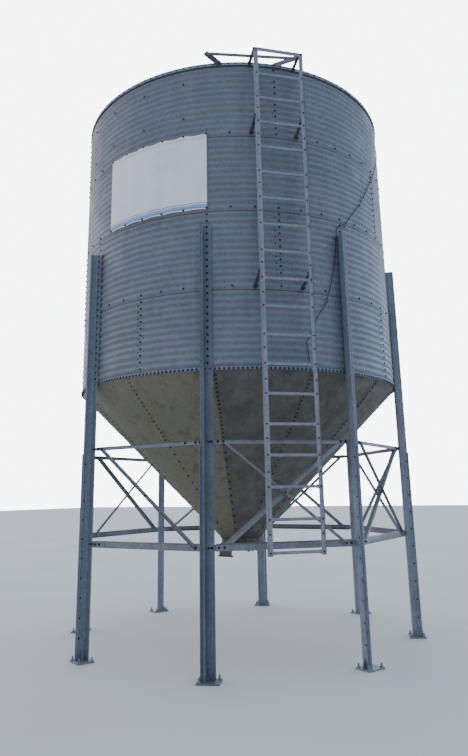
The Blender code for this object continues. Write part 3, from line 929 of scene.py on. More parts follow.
@dataclass
class Assembly:
    """A sub-assembly of the silo, with what each of them needs."""

    bin: Bin
    bolts: dict[Bolt, Piece]
    nodes: dict[str, Piece]
    slot: ClassVar[Slot] = Slot.FRAME

    def dress(self, piece: Piece, finish: Finish | None, *nodes: str, slot: Slot | None = None,
              smooth: float = SMOOTH_ANGLE) -> None:
        """Shade a piece, give it its material, and let it ride on the silo.

        Args:
            piece: The modelled piece.
            finish: Its finish, if the piece doesn't carry its own.
            nodes: The CAD nodes that it stands for.
            slot: Not used.
            smooth: The angle up to which faces are shaded as one surface.
        """
        select(piece)
        bpy.ops.object.shade_smooth_by_angle(angle=math.radians(smooth))
        if finish:
            piece.data.materials.clear()
            piece.data.materials.append(finish.material)
        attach(piece, "root")
        if nodes:
            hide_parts(*nodes)
        log.info("%s: %d faces", piece.name, len(piece.data.polygons))

    def repeat(self, pattern: Piece, name: str, places: Iterable[Matrix], finish: Finish, *nodes: str,
               smooth: float = SMOOTH_ANGLE) -> None:
        """Copy a pattern to its places, as one dressed piece, and take the pattern away."""
        self.dress(spread(pattern, name, places), finish, *nodes, smooth=smooth)
        discard(pattern)

    def bolt(self, kind: Bolt, name: str, places: Iterable[Matrix]) -> None:
        """Copy one kind of bolt to its places, as one piece."""
        self.dress(spread(self.bolts[kind], name, places), None)

    def build(self) -> None:
        """Model the sub-assembly."""
        raise NotImplementedError


@dataclass
class WallRings(Assembly):
    """Four rings of four curved corrugated sheets, with their bolts."""

    slot: ClassVar[Slot] = Slot.WALL
    sheets: int = 4
    gauge: float = 0.0007
    lean: float = 0.0008
    lap_shift: float = 0.0004
    lap_angle: float = 1.3
    points: int = 8
    steps: int = 38
    band: float = 0.026
    # How far in, in depths, and up from the band the lowest sheets' first corrugation starts
    turn_in: tuple[tuple[float, float], ...] = ((1.0, 0.007), (2.0, 0.015), (1.7, 0.022))
    # The ring and the angle of the seam under the banner
    covered: tuple[int, float] = (2, 0.0)
    stay_columns: tuple[int, int] = (-13, 0)
    # The size of each dark dab at a lap's edge: painted shadow, with dirt
    bead: tuple[float, float, float] = (0.007, 0.003, 0.03)
    lap_stand: float = 0.001
    rim_seat: float = 0.0012
    rim_bolts: int = 264
    stay_shares: tuple[float, float] = (0.25, 0.75)

    def _profile(self, ring: int, shift_out: float) -> list[tuple[float, float]]:
        """Points up one sheet: crests at the seams' bolts, and an edge half a pitch beyond each seam.

        Args:
            ring: The number of the sheet's ring, from the lowest, 0.
            shift_out: How far out the sheet lies from the middle of the lap.

        Returns:
            The points, each a distance out and a height.
        """
        size, depth, count = self.bin, self.bin.depth / 2.0, self.points * self.bin.pitches
        middle = size.wall_out - self.gauge / 2.0 - self.lean - self.lap_shift - depth + shift_out
        first = -self.points // 2 if ring else 0
        last = count + (self.points // 2 if ring < size.rings - 1 else 0)
        points = []
        for index in range(first, last + 1):
            wave = math.cos(2.0 * math.pi * index / self.points)
            part = index / count
            points.append((middle + depth * wave + self.lean * (1.0 - 2.0 * part),
                           size.seam(ring) + part * size.ring))
        if ring == 0:
            crest = points[0][0]
            points[:self.points - 1] = [(crest, size.rim), (crest, size.rim + self.band), *(
                (crest - back * depth, size.rim + self.band + up) for back, up in self.turn_in)]
        points[0] = (points[0][0], points[0][1] + GAP)
        return points

    def build(self) -> None:
        """Model each ring's outer and inner sheet and copy them round."""
        sweep = 360.0 / self.sheets + 2.0 * self.lap_angle
        for ring in range(self.bin.rings):
            angles = ring_of(self.sheets, 0.0 if ring % 2 else 180.0 / self.sheets)
            for half, shift_out in enumerate((self.lap_shift, -self.lap_shift)):
                pattern = rolled("sheet", self._profile(ring, shift_out), self.gauge, sweep, self.steps)
                for number in range(half, self.sheets, 2):
                    node = f"wall_ring_{ring + 1}_sheet_{number + 1}"
                    sheet = copied(pattern, f"{node}_corrugated", turn(angles[number] - sweep / 2.0))
                    self.dress(sheet, Finish.WALL, node, smooth=50.0)
                discard(pattern)
            self._seam_bolts(ring)
        self.bolt(Bolt.SEAL, "rim_bolts", [
            spot(angle, self.bin.wall_out - self.rim_seat, self.bin.rim + self.band / 2.0)
            for angle in ring_of(self.rim_bolts)])
        self._lap_shadow_dabs()

    def _seams(self, ring: int) -> list[float]:
        """The angles of a ring's upright seams, apart from the one under the banner."""
        angles = ring_of(self.sheets, 180.0 / self.sheets if ring % 2 else 0.0)
        return [angle for angle in angles if (ring, angle) != self.covered]

    def _seam_bolts(self, ring: int) -> None:
        """Bolts up the ring's upright seams and along its lower seam, and the odd ones in the top ring.

        Args:
            ring: The number of the ring, from the lowest, 0.
        """
        size = self.bin
        out = size.wall_out - SEAT
        places = [spot(angle, out, size.seam(ring) + row * size.pitch)
                  for angle in self._seams(ring) for row in range(1, size.pitches)]
        if ring:
            places += [spot(angle, out + self.lap_stand, size.seam(ring)) for angle in ring_of(size.columns)]
        self.bolt(Bolt.SEAL, f"wall_ring_{ring + 1}_bolts", places)
        if ring == size.rings - 1:
            self.bolt(Bolt.SEAL, "roof_stay_bolts", [
                spot(size.column(number), out, size.seam(ring) + share * size.ring)
                for number in range(*self.stay_columns, 2) for share in self.stay_shares])

    def _lap_shadow_dabs(self) -> None:
        """Dark dabs in each valley at the outer sheet's edge of each upright lap: painted shadow of the gap under the
        edge, with dirt.
        """
        size = self.bin
        select()
        bpy.ops.mesh.primitive_cube_add(size=1.0, scale=self.bead)
        dab = named("dab")
        with editing(dab):
            bpy.ops.mesh.subdivide(number_cuts=1)
            bpy.ops.transform.tosphere(value=0.55)
            bpy.ops.transform.resize(value=(1.0, 1.0, 1.25))
        valley = size.wall_out - 2.0 * self.lean - self.lap_shift - size.depth
        self.repeat(dab, "wall_lap_mastic", [
            spot(angle - self.lap_angle, valley, size.seam(ring) + (row + 0.5) * size.pitch)
            for ring in (0, 1) for angle in self._seams(ring) for row in range(1, size.pitches - 1)],
            Finish.MASTIC, smooth=60.0)


@dataclass
class Hopper(Assembly):
    """The cone: twelve rolled panels, each lapped over the next one and bolted to it."""

    slot: ClassVar[Slot] = Slot.HOPPER
    top_radius: float = 1.8103
    outlet_radius: float = 0.2047
    lip: float = 0.044
    panels: int = 12
    first_seam: float = 25.0
    gauge: float = 0.002
    lap: float = 0.038
    lift: float = 0.0025
    dent: float = 0.0025
    even_ends: tuple[float, float] = (0.2, 0.1)
    even_sides: float = 0.06
    close_pitch: float = 0.05
    wide_pitch: float = 0.1
    close_bolts: int = 16
    bolt_seat: float = 0.0026
    olive_panels: tuple[int, ...] = (3, 4, 7, 10, 11)
    rows: int = 14

    def build(self) -> None:
        """Model one panel and copy it round the cone."""
        rim, fall = self.bin.rim, self.top_radius - self.outlet_radius
        sweep = 360.0 / self.panels
        downs = [fall * row / self.rows for row in range(self.rows + 1)]
        profile = [(self.top_radius, rim + self.lip), *((self.top_radius - down, rim - down) for down in downs)]
        panel = rolled("panel", profile, sweep=sweep, steps=12)
        (low, high), side, slant = self.even_ends, self.even_sides, self.lift * math.sqrt(0.5)
        with editing(panel):
            pick(panel, Element.VERTEX, lambda vertex: (
                rim - fall + low < vertex.co.z < rim - high
                and side < math.atan2(vertex.co.x, -vertex.co.y) < math.radians(sweep) - side))
            bpy.ops.transform.vertex_random(offset=self.dent, uniform=0.0, normal=1.0, seed=7)
            pick(panel, Element.EDGE, lambda edge: all(
                abs(vertex.co.x) < 0.00001 and vertex.co.z < rim + GAP for vertex in edge.verts))
            extrude((-self.lap, -slant, -slant))
        ease(thicken(panel, self.gauge), 0.0004, angle=50.0)
        seams = ring_of(self.panels, self.first_seam)
        for number, angle in enumerate(seams):
            self.dress(copied(panel, f"hopper_panel_{number + 1}", turn(angle)),
                       Finish.HOPPER if number in self.olive_panels else Finish.GREY_HOPPER,
                       f"hopper_quarter_{number // 3 + 1}", smooth=45.0)
        discard(panel)
        steps = [self.close_pitch * (step + 1) for step in range(self.close_bolts)]
        while steps[-1] + 2.0 * self.wide_pitch < fall * math.sqrt(2.0):
            steps.append(steps[-1] + self.wide_pitch)
        drops, seat = [step * math.sqrt(0.5) for step in steps], self.bolt_seat
        self.bolt(Bolt.SEAL, "hopper_seam_bolts", [
            spot(angle, self.top_radius - drop + seat, rim - drop - seat, -self.lap / 2.0) @ turn(-45.0, "X")
            for angle in seams for drop in drops])


@dataclass
class Outlet(Assembly):
    """The collar under the hopper, and the bolted frame in which the slide gate runs."""

    slot: ClassVar[Slot] = Slot.HOPPER
    collar_out: float = 0.2082
    flange: float = 0.006
    gussets: int = 8
    gusset_reach: float = 0.045
    gusset_rise: float = 0.06
    clamp_rise: float = 0.03
    clamp_reach: float = 0.02
    clamp_bolts: int = 16
    bolt_inset: float = 0.02
    grip_width: float = 0.19
    grip_radius: float = 0.008
    steps: int = 64

    def build(self) -> None:
        """Dress the CAD's collar, frame and gate, and add what stiffens, holds and bolts them."""
        for node in ("outlet_collar", "gate_frame", "slide_gate"):
            for place in self.nodes[node].material_slots:
                place.material = Finish.GREY_HOPPER.material
        self._collar()
        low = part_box("slide_gate")[0]
        ends = [(side * self.grip_width / 2.0, low.y + 0.0025, low.z + self.grip_radius) for side in SIDES]
        self.dress(round_bar("slide_gate_grip", self.grip_radius, *ends), Finish.DARK)
        self._bolts()

    def _collar(self) -> None:
        """Plates between the collar and its flange, the weld round its foot, and the angle that ties its top."""
        low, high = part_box("outlet_collar")
        seat, top, out, rise = low.z + self.flange, high.z - 0.003, self.collar_out, self.gusset_rise
        tip = out + self.gusset_reach
        outline = [(out, 0.0), (tip, 0.0), (tip, 0.008), (out + 0.006, rise), (out, rise)]
        gusset = cut_plate("gusset", [(-away, seat + up) for away, up in outline], (-0.002, 0.002), 0.0008, "X")
        self.repeat(gusset, "outlet_collar_gussets", [turn(angle) for angle in ring_of(self.gussets, 22.5)],
                    Finish.GREY_HOPPER)
        bead = ((0.005, 0.0), (0.0025, 0.0015), (0.001, 0.004), (0.0, 0.006))
        self.dress(rolled("outlet_collar_weld", [(out + away, seat + up) for away, up in bead], 0.0008,
                          steps=self.steps), Finish.GREY_HOPPER)
        out += 0.0015
        profile = [(out, top - self.clamp_rise), (out, top), (out + self.clamp_reach, top + self.clamp_reach)]
        self.dress(rolled("outlet_clamp_ring", profile, 0.0025, steps=self.steps, fold=0.004), Finish.GREY_HOPPER)
        self.bolt(Bolt.SMALL, "outlet_clamp_bolts", [
            spot(angle, out + 0.0013, top - 0.016) for angle in ring_of(self.clamp_bolts)])

    def _bolts(self) -> None:
        """Bolts through the collar's flange and the gate's frame, on the three sides that have one."""
        low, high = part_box("gate_frame")
        span = high.x - self.bolt_inset
        faces = ((low.z, 90.0), (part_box("outlet_collar")[0].z + self.flange, -90.0))
        self.bolt(Bolt.FRAME, "gate_frame_bolts", [
            spot(side * 90.0, span, height, step * span / 3.0) @ turn(way, "X")
            for side in range(1, 4) for step in range(-3, 4) for height, way in faces])


@dataclass
class Roof(Assembly):
    """The conical roof: rolled panels with raised ribs, the eave's edge, the peak ring and the lid."""

    slot: ClassVar[Slot] = Slot.ROOF
    eave_radius: float = 1.8289
    peak_radius: float = 0.2515
    skirt: float = 0.0345
    slope: float = 30.0
    panels: int = 24
    first_rib: float = 26.25
    gauge: float = 0.0012
    rows: int = 10
    rib_width: float = 0.044
    rib_height: float = 0.022
    rib_bolts: int = 6
    rib_bolt_aside: float = 0.012
    fade: float = 0.2
    eave_bolts: int = 144
    eave_bolt_drop: float = 0.015
    ring_rise: float = 0.077
    lid_gauge: float = 0.002
    lid_rise: float = 0.034

    def build(self) -> None:
        """Model a quarter of the cone and copy it round, and add the ribs, the peak and the eave's bolts."""
        rise = math.tan(math.radians(self.slope))
        edge, eave, reach = self.bin.eave + 0.0015, self.eave_radius, self.eave_radius - self.peak_radius
        parts = [reach * row / self.rows for row in range(self.rows)]
        profile = [*((self.peak_radius + part, edge + (reach - part) * rise) for part in parts),
                   (eave - 0.0052, edge + 0.003), (eave - 0.0013, edge - 0.0008), (eave, edge - 0.006),
                   (eave, edge - self.skirt - 0.0012)]
        quarter = rolled("quarter", profile, self.gauge, 90.0, 36)
        for number, angle in enumerate(ring_of(4, self.first_rib), 1):
            node = f"roof_quarter_{number}"
            self.dress(copied(quarter, f"{node}_sheet", turn(angle)), Finish.ROOF, node)
        discard(quarter)
        self._ribs(edge, rise)
        self._peak(edge + reach * rise)
        self.bolt(Bolt.SMALL, "eave_bolts", [
            spot(angle, eave + 0.0004, self.bin.eave - self.eave_bolt_drop) for angle in ring_of(self.eave_bolts)])

    def _ribs(self, edge: float, rise: float) -> None:
        """The raised rib along each panel's edge, which fades out towards the eave, with its bolts.

        Args:
            edge: The height at which the cone would reach the eave's radius.
            rise: How far the cone rises for each metre inwards.
        """
        half, places = self.rib_width / 2.0, [turn(angle) for angle in ring_of(self.panels, self.first_rib)]
        start, end = (Vector((0.0, inset - out, edge + (self.eave_radius - out + inset) * rise + 0.0004))
                      for out, inset in ((self.eave_radius, 0.012), (self.peak_radius + 0.03, 0.0)))
        frame, length = beam_frame(start, end, (0.0, 0.0, 1.0))
        outline = ((-half, 0.0), (-half * 0.55, self.rib_height), (half * 0.55, self.rib_height), (half, 0.0))
        rib = cut_plate("rib", outline, (0.0, length), 0.0)
        with editing(rib):
            for wanted, cut in ((lambda vertex: vertex.co.z < GAP < vertex.co.y, self.fade),
                                (lambda vertex: vertex.co.z > length - GAP and vertex.co.y > GAP, -0.02)):
                pick(rib, Element.VERTEX, wanted)
                bpy.ops.transform.translate(value=(0.0, 0.0, cut))
        self.repeat(settle(ease(rib, 0.004, 2), frame), "roof_ribs", places, Finish.ROOF)
        lean = turn(90.0 - self.slope, "X")
        shares = [(step + 0.35) / self.rib_bolts for step in range(self.rib_bolts)]
        self.bolt(Bolt.SMALL, "roof_rib_bolts", [
            place @ shift(side * (half + self.rib_bolt_aside), 0.0, 0.0) @ shift(*start.lerp(end, share)) @ lean
            for place in places for share in shares for side in SIDES])

    def _peak(self, peak: float) -> None:
        """The rolled ring at the peak, and the lid over it with its latches.

        Args:
            peak: The height of the cone at the peak ring.
        """
        out, top, gauge = self.peak_radius - 0.0035, peak + self.ring_rise, self.lid_gauge
        ring = [(out, peak - 0.02), (out, top - 0.008), (out - 0.003, top), (out - 0.009, top - 0.001),
                (out - 0.01, top - 0.008)]
        self.dress(rolled("roof_peak_ring_rolled", ring, gauge), Finish.ROOF, "roof_peak_ring")
        cap = out + 0.024
        arcs = [math.radians(angle) for angle in range(0, 90, 15)]
        lid = [(cap + 0.001, top - 0.028), (cap + 0.003, top - 0.024),
               *((cap * math.cos(arc), top + gauge + self.lid_rise * math.sin(arc)) for arc in arcs),
               (0.0, top + gauge + self.lid_rise)]
        self.dress(rolled("roof_lid_dished", lid, gauge), Finish.ROOF, "roof_lid")
        latch = folded("latch", [(-cap - 0.0035, top - 0.02), (-out - 0.003, top - 0.05)], (-0.012, 0.012),
                       gauge, 0.001, "X")
        self.repeat(latch, "roof_lid_latches", [turn(angle) for angle in ring_of(4, 45.0)], Finish.RAIL)


@dataclass
class Legs(Assembly):
    """Eight C-section legs with their foot plates, stiffeners, clips and bolts."""

    above_rim: float = 1.44
    depth: float = 0.09
    thickness: float = 0.005
    web_place: float = -0.052
    inner_flange: float = 0.099
    outer_flange: float = 0.018
    fold: float = 0.009
    stiffener_width: float = 0.034
    stiffener_reach: float = 0.018
    stiffener_inset: float = 0.002
    stiffener_drop: float = 0.70
    foot_width: float = 0.2
    foot_depth: float = 0.17
    foot_thickness: float = 0.012
    gusset_reach: float = 0.044
    gusset_height: float = 0.09
    clip_flat: float = 0.032
    clip_wing: float = 0.075
    clip_thickness: float = 0.004
    clips: tuple[tuple[float, float], ...] = ((0.655, 0.028), (1.568, 0.052))
    clip_bolts: tuple[float, float] = (0.0, 0.026)
    wall_bolts: int = 23
    wall_bolts_clear: int = 2
    strip_bolts: int = 10
    strip_bolt_pitch: float = 0.18
    strip_bolt_base: float = 0.2
    anchor_places: tuple[float, float] = (0.076, 0.064)

    @property
    def inner(self) -> float:
        """How far out the flange on the wall starts."""
        return self.bin.wall_out + GAP

    @property
    def outer(self) -> float:
        """How far out the outer flange's face is."""
        return self.inner + self.depth

    @property
    def foot_middle(self) -> tuple[float, float]:
        """The middle of the foot plate: across the leg, and out."""
        return self.web_place + self.inner_flange / 2.0, (self.inner + self.outer) / 2.0

    def build(self) -> None:
        """Model one leg with its parts and copy them round."""
        mid, left, base = self.thickness / 2.0, self.web_place, self.foot_thickness
        face = mid - self.outer
        outline = [(left + self.inner_flange, -self.inner - mid), (left + mid, -self.inner - mid), (left + mid, face),
                   (left + self.outer_flange, face)]
        post = folded("post", outline, (base, self.bin.rim + self.above_rim), self.thickness, self.fold)
        near, face = left - mid - GAP, self.stiffener_inset - self.outer
        outline = [(left - self.stiffener_reach, mid + face), (near, mid + face), (near, self.stiffener_width + face)]
        stiffener = folded("stiffener", outline, (base, self.bin.rim - self.stiffener_drop), self.thickness,
                           self.fold * 0.7)
        patterns = {"section": ease(post, 0.0008), "stiffener": ease(stiffener, 0.0008), "foot": self._foot(),
                    "clips": join([self._clip(*clip) for clip in self.clips], "clips")}
        for number, angle in enumerate(ring_of(self.bin.legs, self.bin.first_leg), 1):
            for part, pattern in patterns.items():
                # The front leg takes the darker copy of the leg finish: painted shade
                self.dress(copied(pattern, f"leg_{number}_{part}", turn(angle)),
                           Finish.SHADED if number == 1 else Finish.FRAME, f"leg_{number}")
        discard(*patterns.values())
        self._bolts()

    def _foot(self) -> Piece:
        """The foot plate with the two gussets that hold the section upright.

        Returns:
            The plate and gussets, as one piece.
        """
        middle, out = self.foot_middle
        wide, deep = self.foot_width / 2.0, self.foot_depth / 2.0
        pieces = [slab("plate", (middle - wide, -deep - out, 0.0), (middle + wide, deep - out, self.foot_thickness),
                       0.0015)]
        root = self.foot_thickness - GAP
        for side, start in ((1.0, self.web_place + self.thickness), (-1.0, self.web_place)):
            outline = ((0.0, 0.0), (self.gusset_reach, 0.0), (self.gusset_reach, 0.012), (0.0, self.gusset_height))
            pieces.append(cut_plate("gusset", [(start + side * across, root + up) for across, up in outline],
                                    (-out, 0.006 - out), 0.0008, "Y"))
        return join(pieces, "foot")

    def _clip(self, drop: float, width: float) -> Piece:
        """A bent plate behind the leg, with a wing towards the bay on each side.

        Args:
            drop: How far its middle is below the rim.
            width: Its height.

        Returns:
            The piece.
        """
        bend = math.radians(self.bin.leg_step / 2.0)
        middle = self.inner - GAP - self.clip_thickness / 2.0
        reach, back = self.clip_flat + self.clip_wing * math.cos(bend), self.clip_wing * math.sin(bend) - middle
        outline = ((-reach, back), (-self.clip_flat, -middle), (self.clip_flat, -middle), (reach, back))
        height = self.bin.rim - drop
        return folded("clip", outline, (height - width / 2.0, height + width / 2.0), self.clip_thickness - GAP,
                      0.006)

    def _bolts(self) -> None:
        """Bolts to the wall and the clips, through the stiffener, and to the ground."""
        size = self.bin
        (across, out), (wide, deep) = self.foot_middle, self.anchor_places
        angles = ring_of(size.legs, size.first_leg)
        face = self.inner + self.thickness
        self.bolt(Bolt.SEAL, "leg_wall_bolts", [
            spot(angle, face if row > self.wall_bolts_clear else size.wall_out - SEAT,
                 size.seam(2) - row * size.pitch)
            for angle in angles for row in range(1, self.wall_bolts + 1)])
        self.bolt(Bolt.FRAME, "leg_clip_bolts", [
            spot(angle, face, size.rim - drop, aside)
            for angle in angles for drop, _ in self.clips for aside in self.clip_bolts])
        depth = self.outer - self.stiffener_inset - self.stiffener_width * 0.6
        sides = ((self.web_place + self.thickness, 90.0), (self.web_place - self.thickness - GAP, -90.0))
        self.bolt(Bolt.SMALL, "leg_stiffener_bolts", [
            spot(angle, depth, self.strip_bolt_base + row * self.strip_bolt_pitch, place) @ turn(way)
            for angle in angles for row in range(self.strip_bolts) for place, way in sides])
        self.bolt(Bolt.ANCHOR, "leg_foot_anchors", [
            spot(angle, out + end * deep, self.foot_thickness, across + side * wide) @ turn(-90.0, "X")
            for angle in angles for side in SIDES for end in SIDES])


@dataclass
class Braces(Assembly):
    """The bracing of each bay: an upper angle, a lower channel and crossed angles, or one in the front bay."""

    upper: float = 1.965
    lower: float = 1.052
    upper_height: float = 0.039
    lower_height: float = 0.063
    bar_leg: float = 0.036
    thickness: float = 0.004
    half_length: float = 0.6403
    face: float = 1.7008
    reach: float = 0.5673
    front_width: float = 0.028
    back_width: float = 0.045
    strut_leg: float = 0.028
    overrun: float = 0.006
    end_bolts: tuple[float, float] = (0.5673, 0.617)
    odd_bolt: float = 0.451
    single_bay: int = 8

    @property
    def bays(self) -> list[tuple[int, float]]:
        """Each bay's number and angle."""
        return list(enumerate(ring_of(self.bin.legs, self.bin.first_leg + self.bin.leg_step / 2.0), 1))

    def build(self) -> None:
        """Model one bay's pieces at the front and copy them round."""
        front, mid = self.face + self.thickness, self.thickness / 2.0
        out, back = -self.face - mid, self.bar_leg - front
        sections = {}
        for name, middle, height, channel, fold in (
                ("upper_angle", self.upper, self.upper_height, False, 0.006),
                ("lower_channel", self.lower, self.lower_height, True, 0.007)):
            top, bottom = middle + height / 2.0 - mid, middle - height / 2.0 + (mid if channel else 0.0)
            outline = [(back, bottom), (out, bottom), (out, top), (back, top)][0 if channel else 1:]
            sections[name] = folded(name, outline, (-self.half_length, self.half_length), self.thickness, fold, "X")
        patterns = {**sections, "front_strut": self._strut(-1.0, front, self.front_width),
                    "back_strut": self._strut(1.0, self.face, self.back_width)}
        for piece in patterns.values():
            ease(piece, 0.0006)
        for number, angle in self.bays:
            for part, pattern in patterns.items():
                if number != self.single_bay or part != "back_strut":
                    self.dress(copied(pattern, f"brace_{number}_{part}", turn(angle)), Finish.BRACE,
                               f"brace_frame_{number}")
        discard(*patterns.values())
        self._bolts(front)

    def _strut(self, side: float, plane: float, width: float) -> Piece:
        """One of the crossed angles, against the front (side -1) or the back (side 1) of the bars.

        Args:
            side: Which side its upper end is on, and so which face of the bars it lies on.
            plane: How far out that face is.
            width: The width of its front.

        Returns:
            The piece.
        """
        half, mid, way = width / 2.0, self.thickness / 2.0, -side
        ends = [(place * self.reach, -plane - way * GAP, height)
                for place, height in ((side, self.upper), (-side, self.lower))]
        frame, length = beam_frame(*ends, (0.0, -1.0, 0.0))
        outline = ((half, way * mid), (mid - half, way * mid), (mid - half, way * self.strut_leg))
        return settle(folded("strut", outline, (-self.overrun, length + self.overrun), self.thickness, 0.005), frame)

    def _bolts(self, front: float) -> None:
        """Bolts at the ends of the bars and struts, and where the struts cross.

        Args:
            front: How far out the bars' front is.
        """
        over, (strut_end, bar_end) = front + self.thickness, self.end_bolts
        one_bay = [(over, (self.upper + self.lower) / 2.0, 0.0)]
        for height, way in ((self.upper, 1.0), (self.lower, -1.0)):
            one_bay += [(front, height, -bar_end), (front, height, bar_end), (over, height, -way * strut_end),
                        (front, height, way * strut_end)]
        odd = (front, self.upper, self.odd_bolt)
        self.bolt(Bolt.FRAME, "brace_bolts", [
            spot(angle, *place) for number, angle in self.bays
            for place in (one_bay + [odd] if number == self.single_bay else one_bay)])


@dataclass
class Ladder(Assembly):
    """The outside ladder: folded rails in short lengths, rungs with flattened ends, and its straps."""

    angle: float = 45.0
    standoff: float = 0.19
    rungs: int = 18
    rungs_per_ring: int = 3
    rung_above_seam: float = 0.02
    rung_radius: float = 0.0135
    rung_flat: tuple[float, float] = (0.30, 1.45)
    rung_end: float = 0.017
    rung_taper: float = 0.024
    rail_width: float = 0.044
    rail_leg: float = 0.028
    rail_thickness: float = 0.004
    rail_end: float = 0.028
    rail_gap: float = 0.0012
    upper_rungs: int = 6
    splice: tuple[float, float, float] = (0.016, 0.018, 0.17)
    splice_bolt: float = 0.145
    foot_bolt: float = 0.15
    strap_span: tuple[float, float] = (-0.036, -0.004)
    strap_thickness: float = 0.005
    strap_rise: float = 0.07
    strap_tab: float = 0.03
    strap_foot: tuple[float, float] = (-0.03, 0.02)
    strap_bolt: float = -0.016
    eave_strap_drop: float = 0.014
    eave_strap_rise: float = 0.026
    eave_strap_stand: float = 0.0036
    crossbar: tuple[float, float, float] = (0.04, 0.018, 0.003)

    @property
    def half(self) -> float:
        """How far each rail is from the ladder's middle."""
        return self.bin.wall_out * math.sin(math.radians(self.bin.step))

    @property
    def face(self) -> float:
        """How far out the rails' faces are."""
        return self.bin.wall_out * math.cos(math.radians(self.bin.step)) + self.standoff

    @property
    def back(self) -> float:
        """How far out the rails' backs are."""
        return self.face - self.rail_thickness

    @property
    def heights(self) -> list[float]:
        """The heights of the rungs, from the crossbar down."""
        spacing = self.bin.ring / self.rungs_per_ring
        return [self.bin.eave + self.rung_above_seam - step * spacing for step in range(self.rungs + 1)]

    def _add(self, piece: Piece, finish: Finish, *nodes: str) -> None:
        """Turn a piece from the front to the ladder's place and dress it."""
        self.dress(settle(piece, turn(self.angle)), finish, *nodes)

    def build(self) -> None:
        """Model the rails, rungs, splices, straps and bolts."""
        heights, every, upper = self.heights, self.rungs_per_ring, self.upper_rungs
        joints = [heights[0] + self.rung_radius, *(height - self.rail_end for height in heights[every::every])]
        lengths = list(pairwise(joints))
        cut = upper // every
        rung = self._rung()
        for part, spans in (("upper", lengths[:cut]), ("lower", lengths[cut:])):
            rails = [self._rail(side, bottom + self.rail_gap, top) for top, bottom in spans for side in SIDES]
            self._add(ease(join(rails, f"ladder_{part}_rails"), 0.0007), Finish.RAIL, f"ladder_{part}")
        for part, levels in (("upper", heights[1:upper + 1]), ("lower", heights[upper + 1:])):
            rungs = spread(rung, f"ladder_{part}_rungs", [shift(0.0, 0.0, height) for height in levels])
            self._add(rungs, Finish.RAIL, f"ladder_{part}")
        discard(rung)
        self._crossbar(heights[0] + self.rung_radius)
        self._splices(heights[every:self.rungs:every])
        self._straps()
        places = [(self.face + (0.0 if step else self.crossbar[2]), height + aside)
                  for step, height in enumerate(heights) for aside in self._bolt_shifts(step)]
        self.bolt(Bolt.SMALL, "ladder_bolts", [
            spot(self.angle, out, height, side * self.half) for out, height in places for side in SIDES])

    def _bolt_shifts(self, step: int) -> tuple[float, ...]:
        """How far above a rung each bolt through a rail is.

        Args:
            step: The rung's number, from the crossbar, 0.

        Returns:
            The shifts, upwards.
        """
        if step == self.rungs:
            return 0.0, self.foot_bolt
        return (0.0, -self.splice_bolt, self.splice_bolt) if step and step % self.rungs_per_ring == 0 else (0.0,)

    def _rail(self, side: float, bottom: float, top: float) -> Piece:
        """One length of a rail: an angle with its face outwards.

        Args:
            side: Which rail it is part of.
            bottom: The height of its lower end.
            top: The height of its upper end.

        Returns:
            The piece.
        """
        half, mid = self.rail_width / 2.0, self.rail_thickness / 2.0
        edge = side * (self.half + half - mid)
        outline = ((side * (self.half - half), mid - self.face), (edge, mid - self.face),
                   (edge, self.rail_leg - self.face))
        return folded("rail", outline, (bottom, top), self.rail_thickness, 0.006)

    def _crossbar(self, top: float) -> None:
        """The angle that ties the tops of the rails.

        Args:
            top: The height of the rails' upper ends.
        """
        height, shelf, gauge = self.crossbar
        end, out, top = self.half + self.rail_width / 2.0, self.face + GAP + gauge / 2.0, top + 0.005
        bar = folded("ladder_crossbar", [(-out, top - height), (-out, top), (shelf - out, top)], (-end, end),
                     gauge, 0.004, "X")
        self._add(ease(bar, 0.0006), Finish.RAIL, "ladder_upper")

    def _rung(self) -> Piece:
        """A tube with its two ends pressed flat, where they are bolted behind the rails.

        Returns:
            The rung, at the height of the ground.
        """
        (thin, wide), end, taper = self.rung_flat, self.rung_end, self.rung_taper
        inwards = self.rung_radius * (1.0 - thin)
        pressed, opened = (1.0, thin, wide), (1.0, 1.0 / thin, 1.0 / wide)
        select()
        bpy.ops.mesh.primitive_circle_add(
            vertices=14, radius=self.rung_radius, fill_type="NGON",
            location=(-self.half - end, self.rung_radius * thin + GAP - self.back, 0.0),
            rotation=(0.0, math.pi / 2.0, 0.0))
        rung = named("rung")
        with editing(rung):
            bpy.ops.transform.resize(value=pressed)
            for run, aside, press in ((2.0 * end, 0.0, None), (taper, inwards, opened),
                                      (2.0 * (self.half - end - taper), 0.0, None), (taper, -inwards, pressed),
                                      (2.0 * end, 0.0, None)):
                extrude((run, aside, 0.0))
                if press:
                    bpy.ops.transform.resize(value=press)
        face_outwards(rung)
        return rung

    def _splices(self, levels: Sequence[float]) -> None:
        """The plates behind the joints of the rails.

        Args:
            levels: The heights of the rungs beside the joints.
        """
        wide, near, far = self.splice
        face = 0.0004 - self.back
        plates = [slab("splice", (side * self.half - wide, face, level + low),
                       (side * self.half + wide, face + 0.004, level + high), 0.0008)
                  for level in levels for side in SIDES for low, high in ((-far, -near), (near, far))]
        self._add(join(plates, "ladder_splice_plates"), Finish.RAIL)

